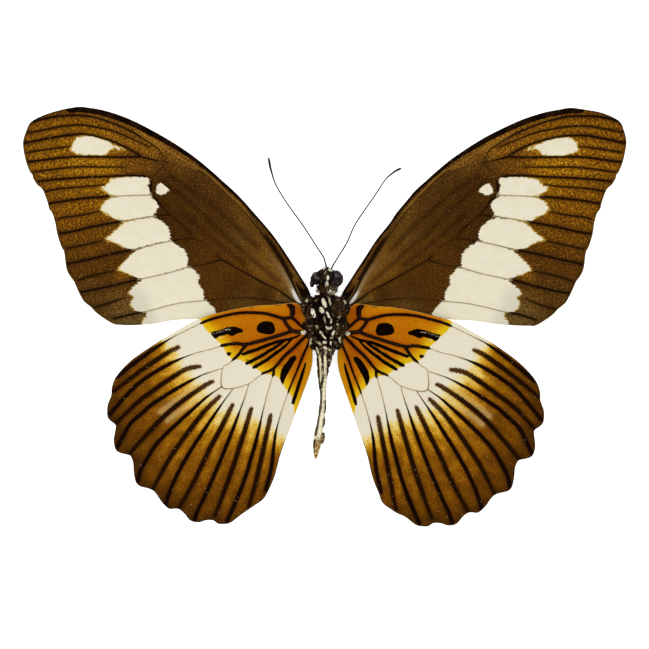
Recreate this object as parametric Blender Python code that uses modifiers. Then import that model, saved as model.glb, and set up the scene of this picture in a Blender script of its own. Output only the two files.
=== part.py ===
"""Spread and dried swallowtail butterfly, lying on its back with the underside up.

The body is three solids in a line (head, thorax with the folded legs, abdomen).
Two antennae leave the head, and four wings leave the sides of the thorax.
The wings droop from the body until their outer margins reach the surface,
so the specimen rests on the flattened back of the thorax and on its wing margins.

Frame: metres, +Z up, +Y towards the head, +X towards the wings on the right.
The origin is on the flat on which the thorax rests, midway between the wing roots.
Wing points are (outboard, forward) pairs in millimetres, measured from the origin.
"""

import math

import bmesh
import bpy
from mathutils import Matrix, Vector
from mathutils.geometry import delaunay_2d_cdt

MM = 0.001

# Driving dimensions, in millimetres
GAP = 0.3
WING_THICKNESS = 0.3
VEIN_RIDGE = 0.12
FOLD_VALLEY = 0.06
SMALLEST_EDGE = 0.2
WING_EDGE_HEIGHT = WING_THICKNESS / 2
FOREWING_HINGE_HEIGHT = 1.4
HINDWING_HINGE_HEIGHT = 2.8
THORAX_HALF = (3.1, 4.3, 3.2)
THORAX_CENTRE = (0.15, -0.75, 2.95)
HEAD_CENTRE = (0.3, 5.75, 3.2)
EYE_RADIUS = 1.2
ANTENNA_RADIUS = 0.15
CLUB_RADIUS = 0.32

# The right wings are mirror images of the left ones, set slightly differently
RIGHT_FOREWING_SHIFT = -0.3
RIGHT_HINDWING_TURN = math.radians(1.4)

# Forewing outline: root, along the costa to the apex, down the outer margin, back
FOREWING_OUTLINE = [[
    (2.1, 2.7), (2.6, 4.05), (3.7, 5.8), (5.05, 7.95), (7.7, 11.85), (10.4, 15.05),
    (13.05, 18.0), (15.5, 20.25), (19.3, 23.45), (23.85, 26.5), (28.45, 29.05),
    (33.15, 30.75), (37.35, 31.25), (40.95, 30.45), (43.8, 29.2), (44.7, 27.8),
    (45.2, 25.95), (44.9, 23.7), (44.25, 21.8), (43.7, 20.7), (42.3, 19.0),
    (41.5, 17.0), (40.8, 15.4), (40.1, 12.45), (39.05, 9.6), (38.7, 7.2),
    (37.2, 4.35), (35.7, 1.9), (33.45, -0.05), (31.7, -1.1), (29.25, -1.3),
    (25.95, -1.1), (18.75, -0.3), (12.75, 0.15), (6.75, 0.8), (3.3, 1.4), (2.1, 2.7),
]]

FOREWING_VEINS = [
    [(2.9, 1.9), (5.05, 4.4), (6.4, 8.35), (9.05, 11.85), (12.4, 16.0), (15.75, 19.2),
     (18.1, 21.5), (19.2, 21.85), (23.85, 23.1)],
    [(23.85, 23.1), (25.6, 25.6), (27.0, 26.4), (32.0, 29.0), (35.4, 29.95),
     (38.85, 30.05), (42.0, 29.6), (44.0, 29.05)],
    [(23.85, 23.1), (27.55, 23.9), (31.4, 26.0), (34.85, 27.05), (37.7, 27.2),
     (41.75, 26.55), (45.0, 25.95)],
    [(27.55, 23.9), (33.15, 23.85), (38.85, 23.8), (41.95, 23.4), (44.4, 23.1)],
    [(23.85, 23.1), (25.8, 20.55), (29.25, 21.05), (34.9, 21.05), (40.0, 20.5),
     (42.95, 20.2)],
    [(25.8, 20.55), (26.05, 18.15), (31.4, 17.95), (36.55, 17.6), (40.0, 17.1),
     (41.2, 16.9)],
    [(26.05, 18.15), (23.35, 15.25), (29.35, 14.4), (34.5, 13.5), (39.6, 12.45)],
    [(23.35, 15.25), (19.8, 11.7), (24.75, 11.25), (30.0, 9.75), (35.2, 8.55),
     (38.55, 7.85)],
    [(19.8, 11.7), (15.55, 8.45), (20.5, 7.4), (25.4, 6.0), (31.7, 4.55), (36.5, 3.6)],
    [(15.55, 8.45), (11.35, 6.1), (7.2, 3.95), (4.4, 2.05), (2.9, 1.9)],
    [(3.3, 1.95), (7.7, 2.3), (12.45, 2.8), (18.0, 2.3), (24.0, 1.4), (29.9, 0.0),
     (31.6, -0.4)],
]

FOREWING_FOLDS = [
    [(28.1, 26.6), (34.4, 28.1), (39.4, 28.3), (44.4, 27.5)],
    [(32.9, 22.4), (38.85, 22.2), (43.4, 21.7)],
    [(33.0, 19.7), (37.7, 19.3), (41.75, 18.7)],
    [(33.9, 15.75), (37.5, 15.0), (39.8, 14.6)],
    [(33.3, 11.35), (36.8, 10.5), (38.6, 10.1)],
    [(31.5, 6.8), (34.2, 6.2), (36.9, 5.3)],
    [(30.0, 2.75), (32.3, 2.0), (34.4, 1.35)],
]

# Hindwing outline: costal edge, five lobes with a notch between each two, inner edge
HINDWING_OUTLINE = [
    [(2.7, -0.6), (3.45, 1.1), (4.75, 1.9), (7.35, 1.6), (10.55, 1.4), (14.45, 0.7),
     (18.55, -0.4), (22.3, -2.4), (25.7, -4.45), (28.95, -6.7), (31.1, -8.95),
     (31.85, -10.6), (31.95, -11.85), (32.55, -13.55), (32.5, -15.15), (31.8, -15.9)],
    [(31.8, -15.9), (31.3, -16.4), (31.6, -18.7), (31.35, -19.9), (30.9, -20.35),
     (29.95, -20.65)],
    [(29.95, -20.65), (29.15, -20.9), (28.7, -21.95), (28.35, -24.7), (27.8, -25.4),
     (26.75, -25.7)],
    [(26.75, -25.7), (25.85, -26.05), (24.45, -27.8), (23.4, -28.8), (22.65, -28.8)],
    [(22.65, -28.8), (21.85, -28.9), (20.5, -30.25), (18.95, -30.85), (18.1, -30.6)],
    [(18.1, -30.6), (17.45, -30.5), (16.05, -31.05), (14.2, -30.9), (12.6, -29.7),
     (10.45, -28.2), (8.75, -26.5), (7.7, -24.0), (6.8, -20.55), (5.6, -17.25),
     (3.45, -11.35), (2.3, -7.95), (2.0, -5.4), (2.4, -3.1), (2.7, -0.6)],
]

HINDWING_VEINS = [
    [(3.2, -2.5), (4.75, -2.25), (6.2, -0.5), (8.0, 0.15), (11.2, 0.5), (15.1, 0.0),
     (18.55, -1.1), (22.3, -2.9), (26.9, -5.8), (31.0, -9.0)],
    [(3.2, -2.5), (6.05, -2.65), (10.0, -3.8), (12.0, -4.25), (15.45, -4.45),
     (19.95, -5.7), (25.15, -8.3), (30.3, -12.45), (31.8, -14.3)],
    [(12.0, -4.25), (13.5, -6.4), (15.3, -7.8), (20.25, -9.85), (25.7, -13.15),
     (29.1, -16.05), (30.9, -19.2)],
    [(15.3, -7.8), (15.4, -10.5), (19.2, -13.45), (23.8, -17.6), (26.75, -21.5),
     (28.0, -24.2)],
    [(15.4, -10.5), (13.7, -10.8), (16.5, -14.7), (20.8, -21.3), (23.0, -25.5),
     (23.8, -27.8)],
    [(13.7, -10.8), (11.35, -10.1), (12.65, -14.0), (14.8, -19.5), (17.05, -24.8),
     (19.4, -30.0)],
    [(11.35, -10.1), (9.3, -8.55), (7.65, -7.8), (9.0, -12.75), (10.3, -18.6),
     (12.6, -25.95), (14.4, -30.0)],
    [(7.65, -7.8), (4.75, -4.7), (3.2, -2.5)],
    [(3.2, -2.5), (3.6, -6.65), (5.45, -11.3), (7.3, -17.2), (7.9, -21.8),
     (8.6, -25.3)],
]

HINDWING_FOLDS = [
    [(22.0, -4.8), (25.7, -7.0), (29.2, -9.35), (31.4, -11.2)],
    [(20.8, -7.95), (24.5, -10.4), (28.1, -12.9), (30.9, -15.6)],
    [(19.35, -11.35), (24.0, -15.0), (27.3, -18.3), (29.0, -20.2)],
    [(16.75, -12.85), (21.25, -18.35), (24.15, -22.9), (25.4, -25.2)],
    [(14.6, -14.75), (18.65, -22.65), (21.0, -27.6), (21.7, -28.6)],
    [(11.0, -13.8), (14.5, -24.65), (16.4, -30.0)],
    [(7.95, -15.0), (10.0, -24.0), (11.2, -27.6)],
]

# Abdomen centre line: (across, forward, height, radius), from the waist to the claspers
ABDOMEN_LINE = [
    (0.0, -5.4, 3.0, 1.35), (-0.1, -6.6, 3.0, 1.15), (-0.4, -8.5, 2.9, 0.8),
    (-0.35, -10.5, 2.8, 0.62), (-0.25, -12.0, 2.7, 0.52), (-0.3, -13.2, 2.6, 0.54),
    (-0.5, -14.6, 2.5, 0.56), (-0.6, -16.0, 2.4, 0.66), (-0.85, -17.3, 2.3, 0.7),
    (-0.9, -18.6, 2.2, 0.78), (-1.25, -20.1, 2.1, 0.55), (-1.4, -21.3, 2.0, 0.24),
]
SEGMENT_LENGTH = 1.75
SEGMENT_WAIST = 0.07

# Antennae, from the brow to the club: (across, forward)
LEFT_ANTENNA = [
    (0.15, 7.55), (-0.25, 8.8), (-1.1, 10.1), (-3.3, 13.5), (-5.6, 16.7), (-7.3, 19.5),
    (-8.1, 22.0), (-8.4, 23.6),
]
RIGHT_ANTENNA = [
    (1.1, 7.4), (1.45, 7.9), (3.2, 10.8), (4.6, 13.8), (7.2, 17.6), (9.0, 20.3),
    (10.7, 21.7), (11.4, 22.0),
]
ANTENNA_HEIGHTS = (3.0, 2.6)

# Folded legs on the underside of the thorax: hip, knee, ankle (out, forward)
LEGS = [
    [(0.45, 1.9), (1.5, 2.7), (1.9, 0.9)],
    [(0.45, 0.1), (1.85, 0.9), (2.1, -1.3)],
    [(0.4, -1.7), (1.5, -0.9), (1.6, -3.3)],
]
LEG_RADIUS = 0.34


def clear_scene():
    for thing in list(bpy.data.objects):
        bpy.data.objects.remove(thing, do_unlink=True)


def make_collection(name):
    group = bpy.data.collections.new(name)
    bpy.context.scene.collection.children.link(group)
    return group


def make_material(name, colour, roughness):
    material = bpy.data.materials.new(name)
    material.use_nodes = True
    shader = material.node_tree.nodes["Principled BSDF"]
    shader.inputs["Base Color"].default_value = (*colour, 1.0)
    shader.inputs["Roughness"].default_value = roughness
    shader.inputs["Metallic"].default_value = 0.0
    return material


def add_object(name, mesh, group, material=None):
    thing = bpy.data.objects.new(name, mesh)
    group.objects.link(thing)
    if material:
        mesh.materials.clear()
        mesh.materials.append(material)
    return thing


def mesh_from(build, name):
    """Run one bmesh building function and keep the result, faces turned outwards."""
    shape = bmesh.new()
    build(shape)
    bmesh.ops.recalc_face_normals(shape, faces=shape.faces)
    mesh = bpy.data.meshes.new(name)
    shape.to_mesh(mesh)
    shape.free()
    return mesh


def smooth_line(points, pieces):
    """Points along a Catmull-Rom curve through the given points, ends included."""
    line = [Vector(points[0])]
    for index in range(len(points) - 1):
        before = Vector(points[max(index - 1, 0)])
        start = Vector(points[index])
        end = Vector(points[index + 1])
        after = Vector(points[min(index + 2, len(points) - 1)])
        for step in range(1, pieces + 1):
            t = step / pieces
            line.append(0.5 * (2 * start + (end - before) * t
                               + (2 * before - 5 * start + 4 * end - after) * t ** 2
                               + (3 * start - before - 3 * end + after) * t ** 3))
    return line


def forewing_height(point):
    """Middle surface of the forewing: highest at the hinge, flat at the margin."""
    along = ((point[0] - 2.4) * 0.972 + (point[1] - 2.4) * 0.234) / 38.0
    rise = (FOREWING_HINGE_HEIGHT - WING_EDGE_HEIGHT) * (1 - min(max(along, 0), 1)) ** 2
    return WING_EDGE_HEIGHT + rise


def hindwing_height(point):
    """Middle surface of the hindwing, which lies over the forewing's inner edge."""
    away = math.hypot(point[0] - 3.2, point[1] + 2.5) / 31.0
    rise = (HINDWING_HINGE_HEIGHT - WING_EDGE_HEIGHT) * (1 - min(away, 1)) ** 1.2
    return WING_EDGE_HEIGHT + rise


def wing_sheet(outline, veins, folds, height, place):
    """An open sheet: the outline filled, creased up at the veins and down between them."""
    edge = []
    for run in outline:
        edge.extend(smooth_line(run, 2)[:-1])
    points = list(edge)
    pairs = [(i, (i + 1) % len(edge)) for i in range(len(edge))]
    lift = [0.0] * len(edge)
    for lines, offset in ((veins, VEIN_RIDGE), (folds, -FOLD_VALLEY)):
        for line in lines:
            first = len(points)
            curve = smooth_line(line, 2)
            points.extend(curve)
            lift.extend([offset] * len(curve))
            pairs.extend((first + i, first + i + 1) for i in range(len(curve) - 1))
    filled = delaunay_2d_cdt(points, pairs, [list(range(len(edge)))], 1, 0.05)
    vertices, _, faces, origins = filled[0], filled[1], filled[2], filled[3]

    def build(shape):
        offsets = shape.verts.layers.float.new("offset")
        made = []
        for vertex, sources in zip(vertices, origins):
            corner = shape.verts.new((vertex[0] * MM, vertex[1] * MM, 0.0))
            corner[offsets] = max((lift[i] for i in sources), key=abs, default=VEIN_RIDGE)
            made.append(corner)
        for face in faces:
            shape.faces.new([made[i] for i in face])
        loose = [v for v in shape.verts if not v.link_faces]
        bmesh.ops.delete(shape, geom=loose, context="VERTS")
        bmesh.ops.remove_doubles(shape, verts=shape.verts, dist=SMALLEST_EDGE * MM)
        bmesh.ops.dissolve_degenerate(shape, edges=shape.edges, dist=SMALLEST_EDGE * MM / 2)
        bmesh.ops.triangulate(shape, faces=shape.faces)
        for corner in shape.verts:
            point = corner.co.x / MM, corner.co.y / MM
            x, y = place(point)
            corner.co = Vector((x, y, height(point) + corner[offsets])) * MM
    return build


def upward(mesh):
    """Turn an open sheet's faces so that they look up."""
    shape = bmesh.new()
    shape.from_mesh(mesh)
    shape.normal_update()
    turned = [face for face in shape.faces if face.normal.z < 0]
    bmesh.ops.reverse_faces(shape, faces=turned)
    shape.to_mesh(mesh)
    shape.free()


def make_wing(name, outline, veins, folds, height, place, group, material, cutter):
    sheet = mesh_from(wing_sheet(outline, veins, folds, height, place), name)
    upward(sheet)
    wing = add_object(name, sheet, group, material)
    wall = wing.modifiers.new("thickness", "SOLIDIFY")
    wall.thickness = WING_THICKNESS * MM
    wall.offset = 0.0
    wall.use_even_offset = True
    cut = wing.modifiers.new("room for the thorax", "BOOLEAN")
    cut.operation = "DIFFERENCE"
    cut.solver = "EXACT"
    cut.object = cutter
    return wing


def left_place(point):
    return -point[0], point[1]


def right_forewing_place(point):
    return point[0] + RIGHT_FOREWING_SHIFT, point[1]


def right_hindwing_place(point):
    across, forward = point[0] - 3.2, point[1] + 2.5
    cosine, sine = math.cos(RIGHT_HINDWING_TURN), math.sin(RIGHT_HINDWING_TURN)
    return 3.3 + across * cosine + forward * sine, -2.6 - across * sine + forward * cosine


def ellipsoid(shape, centre, half, around=20, rings=12):
    """A sphere primitive stretched to the three half sizes, all in millimetres."""
    stretch = Matrix.Diagonal((*[size * MM for size in half], 1.0))
    place = Matrix.Translation([value * MM for value in centre]) @ stretch
    return bmesh.ops.create_uvsphere(shape, u_segments=around, v_segments=rings,
                                     radius=1.0, matrix=place)


def cut_at_floor(shape):
    """Slice the shape off at the surface that it rests on, and close it flat."""
    everything = shape.verts[:] + shape.edges[:] + shape.faces[:]
    cut = bmesh.ops.bisect_plane(shape, geom=everything, dist=1e-7, plane_co=(0, 0, 0),
                                 plane_no=(0, 0, 1), clear_inner=True)
    rim = [item for item in cut["geom_cut"] if isinstance(item, bmesh.types.BMEdge)]
    bmesh.ops.edgeloop_fill(shape, edges=rim)


def thorax_shell(extra, flat):
    half = [size + extra for size in THORAX_HALF]

    def build(shape):
        ellipsoid(shape, THORAX_CENTRE, half, 24, 14)
        if flat:
            cut_at_floor(shape)
    return build


def tube(name, points, radii, group, material, sides=2):
    """A closed round tube through the points, with a radius at each of them."""
    data = bpy.data.curves.new(name, "CURVE")
    data.dimensions = "3D"
    data.bevel_depth = MM
    data.bevel_resolution = sides
    data.use_fill_caps = True
    spline = data.splines.new("POLY")
    spline.points.add(len(points) - 1)
    for spot, point, radius in zip(spline.points, points, radii):
        spot.co = (point[0] * MM, point[1] * MM, point[2] * MM, 1.0)
        spot.radius = radius
    data.materials.append(material)
    thing = bpy.data.objects.new(name, data)
    group.objects.link(thing)
    return thing


def curve_to_mesh(thing):
    """Replace a tube by a mesh of the same name, with its caps welded on."""
    depsgraph = bpy.context.evaluated_depsgraph_get()
    mesh = bpy.data.meshes.new_from_object(thing.evaluated_get(depsgraph))
    shape = bmesh.new()
    shape.from_mesh(mesh)
    bmesh.ops.remove_doubles(shape, verts=shape.verts, dist=1e-6)
    bmesh.ops.recalc_face_normals(shape, faces=shape.faces)
    shape.to_mesh(mesh)
    shape.free()
    name, group, place = thing.name, thing.users_collection[0], thing.matrix_world.copy()
    bpy.data.objects.remove(thing, do_unlink=True)
    solid = bpy.data.objects.new(name, mesh)
    solid.matrix_world = place
    group.objects.link(solid)
    return solid


def join_into(target, tool):
    union = target.modifiers.new(tool.name, "BOOLEAN")
    union.operation = "UNION"
    union.solver = "EXACT"
    union.object = tool
    tool.hide_render = True
    tool.display_type = "WIRE"


def make_cutter(name, build, cutters):
    cutter = add_object(name, mesh_from(build, name), cutters)
    cutter.hide_render = True
    cutter.display_type = "WIRE"
    return cutter


def thorax_top(across, forward):
    """Height of the underside of the thorax, which faces up, at one place."""
    x = (across - THORAX_CENTRE[0]) / THORAX_HALF[0]
    y = (forward - THORAX_CENTRE[1]) / THORAX_HALF[1]
    return THORAX_CENTRE[2] + THORAX_HALF[2] * math.sqrt(max(1 - x * x - y * y, 0))


def make_thorax(group, cutters, material):
    thorax = add_object("thorax", mesh_from(thorax_shell(0, True), "thorax"), group, material)
    for side, side_name in ((-1, "left"), (1, "right")):
        for number, leg in enumerate(LEGS, 1):
            line = smooth_line([(side * u + THORAX_CENTRE[0], v) for u, v in leg], 3)
            points = [(p.x, p.y, thorax_top(p.x, p.y) - 0.12) for p in line]
            radii = [LEG_RADIUS * (1.15 - 0.5 * i / (len(line) - 1)) for i in range(len(line))]
            name = f"{side_name} leg {number}"
            leg_solid = curve_to_mesh(tube(name, points, radii, cutters, material, 1))
            join_into(thorax, leg_solid)
    return thorax


def make_head(group, cutters, material):
    def skull(shape):
        ellipsoid(shape, HEAD_CENTRE, (1.75, 1.45, 1.55), 18, 12)

    head = add_object("head", mesh_from(skull, "head"), group, material)
    x, y, z = HEAD_CENTRE
    parts = [
        ("neck", (x - 0.05, y - 1.2, z), (1.15, 0.65, 1.15)),
        ("left eye", (x - 1.3, y - 0.1, z), (0.95, 1.15, 1.15)),
        ("right eye", (x + 1.2, y - 0.1, z), (1.0, EYE_RADIUS, EYE_RADIUS)),
        ("left palp", (x - 0.33, y + 0.95, z + 0.9), (0.42, 0.95, 0.5)),
        ("right palp", (x + 0.42, y + 0.95, z + 0.9), (0.42, 0.95, 0.5)),
    ]
    for name, centre, half in parts:
        def lump(shape, centre=centre, half=half):
            ellipsoid(shape, centre, half, 16, 10)
        join_into(head, make_cutter(name, lump, cutters))
    return head


def make_abdomen(group, material):
    """A tapering, bent tube, pinched in between its segments."""
    line = smooth_line([Vector(p[:3]) for p in ABDOMEN_LINE], 3)
    radii = [v.x for v in smooth_line([Vector((p[3], 0, 0)) for p in ABDOMEN_LINE], 3)]
    travelled = 0.0
    pinched = []
    for index, point in enumerate(line):
        if index:
            travelled += (point - line[index - 1]).length
        wave = math.cos(2 * math.pi * travelled / SEGMENT_LENGTH)
        pinched.append(radii[index] * (1 - SEGMENT_WAIST * max(wave, 0)))
    abdomen = tube("abdomen", line, pinched, group, material, 4)
    return abdomen


def make_antenna(name, points, group, material):
    """A hair-thin shaft that thickens to a slim club at the tip."""
    line = smooth_line(points, 3)
    last = len(line) - 1
    high, low = ANTENNA_HEIGHTS
    places = [(p.x, p.y, high + (low - high) * i / last) for i, p in enumerate(line)]
    radii = []
    for index in range(len(line)):
        swell = max(0.0, (index / last - 0.75) / 0.25)
        radii.append(ANTENNA_RADIUS + (CLUB_RADIUS - ANTENNA_RADIUS) * math.sin(2.4 * swell))
    return tube(name, places, radii, group, material, 2)


def build_butterfly():
    clear_scene()
    group = make_collection("spread butterfly")
    cutters = make_collection("cutters")

    forewing_scales = make_material("forewing scales", (0.20, 0.10, 0.01), 0.8)
    hindwing_scales = make_material("hindwing scales", (0.42, 0.18, 0.01), 0.8)
    dark_hair = make_material("dark body hair", (0.03, 0.02, 0.01), 0.9)
    eye_shell = make_material("head and eyes", (0.04, 0.03, 0.03), 0.5)
    abdomen_skin = make_material("abdomen scales", (0.6, 0.48, 0.22), 0.85)
    antenna_shell = make_material("antenna shell", (0.02, 0.015, 0.01), 0.6)

    room = make_cutter("room for the thorax", thorax_shell(GAP, False), cutters)
    make_thorax(group, cutters, dark_hair)
    make_head(group, cutters, eye_shell)
    make_abdomen(group, abdomen_skin)
    make_antenna("antenna_left", LEFT_ANTENNA, group, antenna_shell)
    make_antenna("antenna_right", RIGHT_ANTENNA, group, antenna_shell)

    forewing = (FOREWING_OUTLINE, FOREWING_VEINS, FOREWING_FOLDS, forewing_height)
    hindwing = (HINDWING_OUTLINE, HINDWING_VEINS, HINDWING_FOLDS, hindwing_height)
    make_wing("forewing_left", *forewing, left_place, group, forewing_scales, room)
    make_wing("forewing_right", *forewing, right_forewing_place, group, forewing_scales, room)
    make_wing("hindwing_left", *hindwing, left_place, group, hindwing_scales, room)
    make_wing("hindwing_right", *hindwing, right_hindwing_place, group, hindwing_scales, room)


build_butterfly()
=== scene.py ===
import math

import bpy
import numpy as np
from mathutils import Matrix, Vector
from mathutils.bvhtree import BVHTree
from mathutils.geometry import delaunay_2d_cdt
from mathutils.kdtree import KDTree


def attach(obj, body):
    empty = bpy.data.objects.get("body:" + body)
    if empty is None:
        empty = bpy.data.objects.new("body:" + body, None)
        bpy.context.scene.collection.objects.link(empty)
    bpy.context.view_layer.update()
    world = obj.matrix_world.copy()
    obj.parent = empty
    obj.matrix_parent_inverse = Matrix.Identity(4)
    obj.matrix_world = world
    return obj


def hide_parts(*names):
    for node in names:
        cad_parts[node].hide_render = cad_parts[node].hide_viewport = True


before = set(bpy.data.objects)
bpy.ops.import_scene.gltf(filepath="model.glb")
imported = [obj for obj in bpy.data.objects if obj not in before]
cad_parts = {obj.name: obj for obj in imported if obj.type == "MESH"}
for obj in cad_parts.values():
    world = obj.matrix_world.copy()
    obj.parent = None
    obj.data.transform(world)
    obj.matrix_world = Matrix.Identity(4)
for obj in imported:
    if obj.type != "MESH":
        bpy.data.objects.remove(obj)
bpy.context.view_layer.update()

MM = 0.001

# The photograph's frame: one pixel is 0.15 mm, and the origin lies at this pixel
PIXEL = 0.15
ORIGIN_PIXEL = (325.0, 316.0)
FRAME_PIXELS = 649

# Wing sizes, in millimetres, and where each wing turns on the thorax
MEMBRANE = 0.10
THICKEST = 0.26
WING_REST = 0.09
FOREWING_HINGE = (2.4, 2.4)
HINDWING_HINGE = (3.2, -2.5)
FOREWING_RISE = 1.28
HINDWING_RISE = 2.62
RIGHT_FOREWING_SHIFT = -0.3
RIGHT_HINDWING_SHIFT = (0.1, -0.1)
RIGHT_HINDWING_TURN = math.radians(1.4)

# The scales' fringe past the membrane's edge
HEM = 0.09
# The fineness of the wings' meshes: the outline, the sheet, the veins and stripes, and the
# rows of points that follow each vein on both its sides
OUTLINE_STEP = 0.3
SHEET_STEP = 0.34
LINE_STEP = 0.32
GUARDS = (0.13, 0.30)
# A step this long from the outline tells its inside from its outside
EDGE_PROBE = 0.05
# The forewing's front edge is made by this many of its outline's points
FRONT_POINTS = 22
# The forewing's long axis, and how far each kind of wing reaches before it lies flat
FOREWING_AXIS = (0.972, 0.234)
FOREWING_REACH = 38.0
HINDWING_REACH = 31.0
# The rows of scales fan out from the hinge, and have their true width at this radius
ROW_RADIUS = 24.0
RIGHT_ROW_SHIFT = 50.0
# How brightly the paper under the specimen is lit from below, as on a light table
PAPER_GLOW = 0.7
# Every wing point is (outboard, forward) in millimetres from the origin
FOREWING_OUTLINE = [[
    (2.1, 2.7), (2.6, 4.05), (3.7, 5.8), (5.05, 7.95), (7.7, 11.85), (10.4, 15.05),
    (13.05, 18.0), (15.5, 20.25), (17.0, 21.6), (19.3, 23.52), (21.55, 25.13), (23.85, 26.57),
    (26.15, 27.86), (28.45, 29.05), (30.75, 30.0), (33.15, 30.75), (35.4, 31.15),
    (37.35, 31.25), (40.95, 30.45), (43.8, 29.2), (44.7, 27.8), (45.2, 25.95),
    (44.9, 23.7), (44.25, 21.8), (43.8, 21.2), (43.7, 20.7), (43.1, 19.75), (42.3, 19.0),
    (41.5, 17.0), (41.3, 16.1), (40.8, 15.4), (40.35, 13.8), (40.1, 12.45), (39.5, 10.5),
    (39.05, 9.6), (38.7, 7.2), (38.25, 6.15), (37.6, 5.25), (37.2, 4.35), (36.3, 2.55),
    (35.7, 1.9), (34.95, 1.3), (34.35, 0.65), (33.45, -0.05), (31.7, -1.1), (30.6, -1.25),
    (29.25, -1.3), (25.95, -1.1), (22.8, -0.55), (18.75, -0.3), (12.75, 0.15), (6.75, 0.8),
    (3.3, 1.4), (2.1, 2.7),
]]

FOREWING_VEINS = [
    [(3.3, 1.95), (3.65, 2.45), (4.28, 3.6), (4.78, 4.8), (5.55, 6.3), (6.53, 8.1), (7.73, 9.95),
     (9.1, 11.95),
     (12.4, 16.0), (15.75, 19.2), (18.1, 21.5), (19.2, 21.8), (22.7, 22.65),
     (23.85, 23.1)],
    [(44.15, 29.05), (41.95, 29.6), (38.85, 30.05), (35.4, 29.95), (32, 29),
     (28.45, 27.35), (25.6, 25.5), (24.8, 24.8), (23.85, 23.1)],
    [(45.05, 25.9), (41.75, 26.55), (37.7, 27.2), (34.85, 27.05), (31.4, 26),
     (28.45, 24.5), (27.55, 23.9), (26.15, 23.5), (23.85, 23.1)],
    [(44.5, 23.1), (41.95, 23.4), (38.85, 23.8), (35.4, 23.9), (30.8, 23.8),
     (27.55, 23.9)],
    [(43, 20.2), (40, 20.5), (36.55, 20.75), (33.1, 20.9), (29.25, 21.05),
     (26.4, 20.9), (25.8, 20.55)],
    [(23.85, 23.1), (25, 21.7), (25.8, 20.6), (26.1, 19.5), (26.05, 18.15),
     (25.25, 17.45), (23.85, 15.75), (22.25, 14.3), (20.6, 12.9), (19.8, 11.7),
     (18.45, 11.1), (17.3, 10.15)],
    [(16.2, 9.15), (15.5, 8.45), (14.2, 7.75), (11.3, 6.1), (9.05, 4.85),
     (7.2, 3.95), (4.35, 2.05), (3.3, 1.65)],
    [(41.3, 16.85), (38.3, 17.35), (34.85, 17.75), (31.4, 17.95),
     (29.25, 18.05), (26.05, 18.15)],
    [(39.75, 12.4), (38, 12.65), (34.5, 13.45), (31.05, 14.1), (27.2, 14.75),
     (23.3, 15.2)],
    [(38.6, 7.8), (35.15, 8.55), (31.7, 9.35), (28.25, 10.05), (24.75, 10.9),
     (21.65, 11.45), (19.8, 11.7)],
    [(36.65, 3.55), (33.45, 4.2), (30, 5), (27.1, 5.65), (23.25, 6.5),
     (20.5, 7.35), (18.2, 7.7), (15.5, 8.45)],
    [(31.7, -0.4), (28.85, 0.3), (26.25, 0.8), (23.95, 1.45), (21.65, 1.95),
     (19.35, 2.2), (14.75, 2.65), (12.5, 2.75), (10.4, 2.65), (7.7, 2.25),
     (3.3, 1.5)],
    [(4.9, 5.85), (5.35, 6.6), (6.33, 8.4), (7.5, 10.25), (8.8, 12.0), (11.7, 15.8)],
]

# The dark stripes that run between the veins, from the margin inwards
FOREWING_STRIPES = [
    [(44.6, 27.45), (41.95, 27.95), (39.35, 28.45), (36.7, 28.65),
     (34.25, 28.3), (31.4, 27.6), (26.25, 25.35)],
    [(44.6, 24.5), (42.9, 24.8), (41.15, 25.05), (37.95, 25.45)],
    [(43.7, 21.6), (40.6, 22), (37.15, 22.35), (33.1, 22.35), (30, 22.35)],
    [(41.95, 18.65), (40, 19.05), (36, 19.4), (32.9, 19.7)],
    [(40, 14.55), (38.85, 14.85), (37.5, 15), (35.35, 15.35), (33.9, 15.7)],
    [(38.75, 10.1), (36.8, 10.5), (35, 10.9), (33.3, 11.3)],
    [(37.1, 5.3), (35.75, 5.8), (34, 6.25), (32.65, 6.55), (31.5, 6.8)],
    [(34.6, 1.3), (33.45, 1.6), (32.3, 1.95), (31.15, 2.35), (30, 2.75)],
]

# Bare, copper-brown lines between the black costa and the cell
FOREWING_COPPER = [
    [(8.8, 12.0), (12.0, 15.9),
     (15.45, 19.25), (17.75, 21.4), (19.2, 22.25), (21.45, 23.55),
     (23.25, 24.7), (25.95, 26.45), (28.5, 27.7)],
    [(19.2, 21.9), (21.45, 22.95), (23.25, 24.15), (25.95, 26), (28.5, 27.4),
     (31.95, 29.1), (35.4, 30.2)],
    [(9.3, 13.4), (11.4, 15.95), (15.2, 19.6), (18.6, 22.45), (22.3, 25.15)],
    [(6.8, 3.57), (7.28, 2.28)],
]

# Painted shade: soft, dark streaks along the folds of the cell, which darken the brown around them
FOREWING_FOLD_SHADE = [
    [(24.5, 20.3), (20.5, 17.3), (15.6, 12.6), (11.0, 8.6), (7.0, 5.2)],
    [(23.2, 21.0), (19.0, 18.2), (14.2, 14.2), (10.0, 10.2)],
    [(20.8, 15.0), (16.5, 11.2), (12.0, 7.8)],
]

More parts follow.
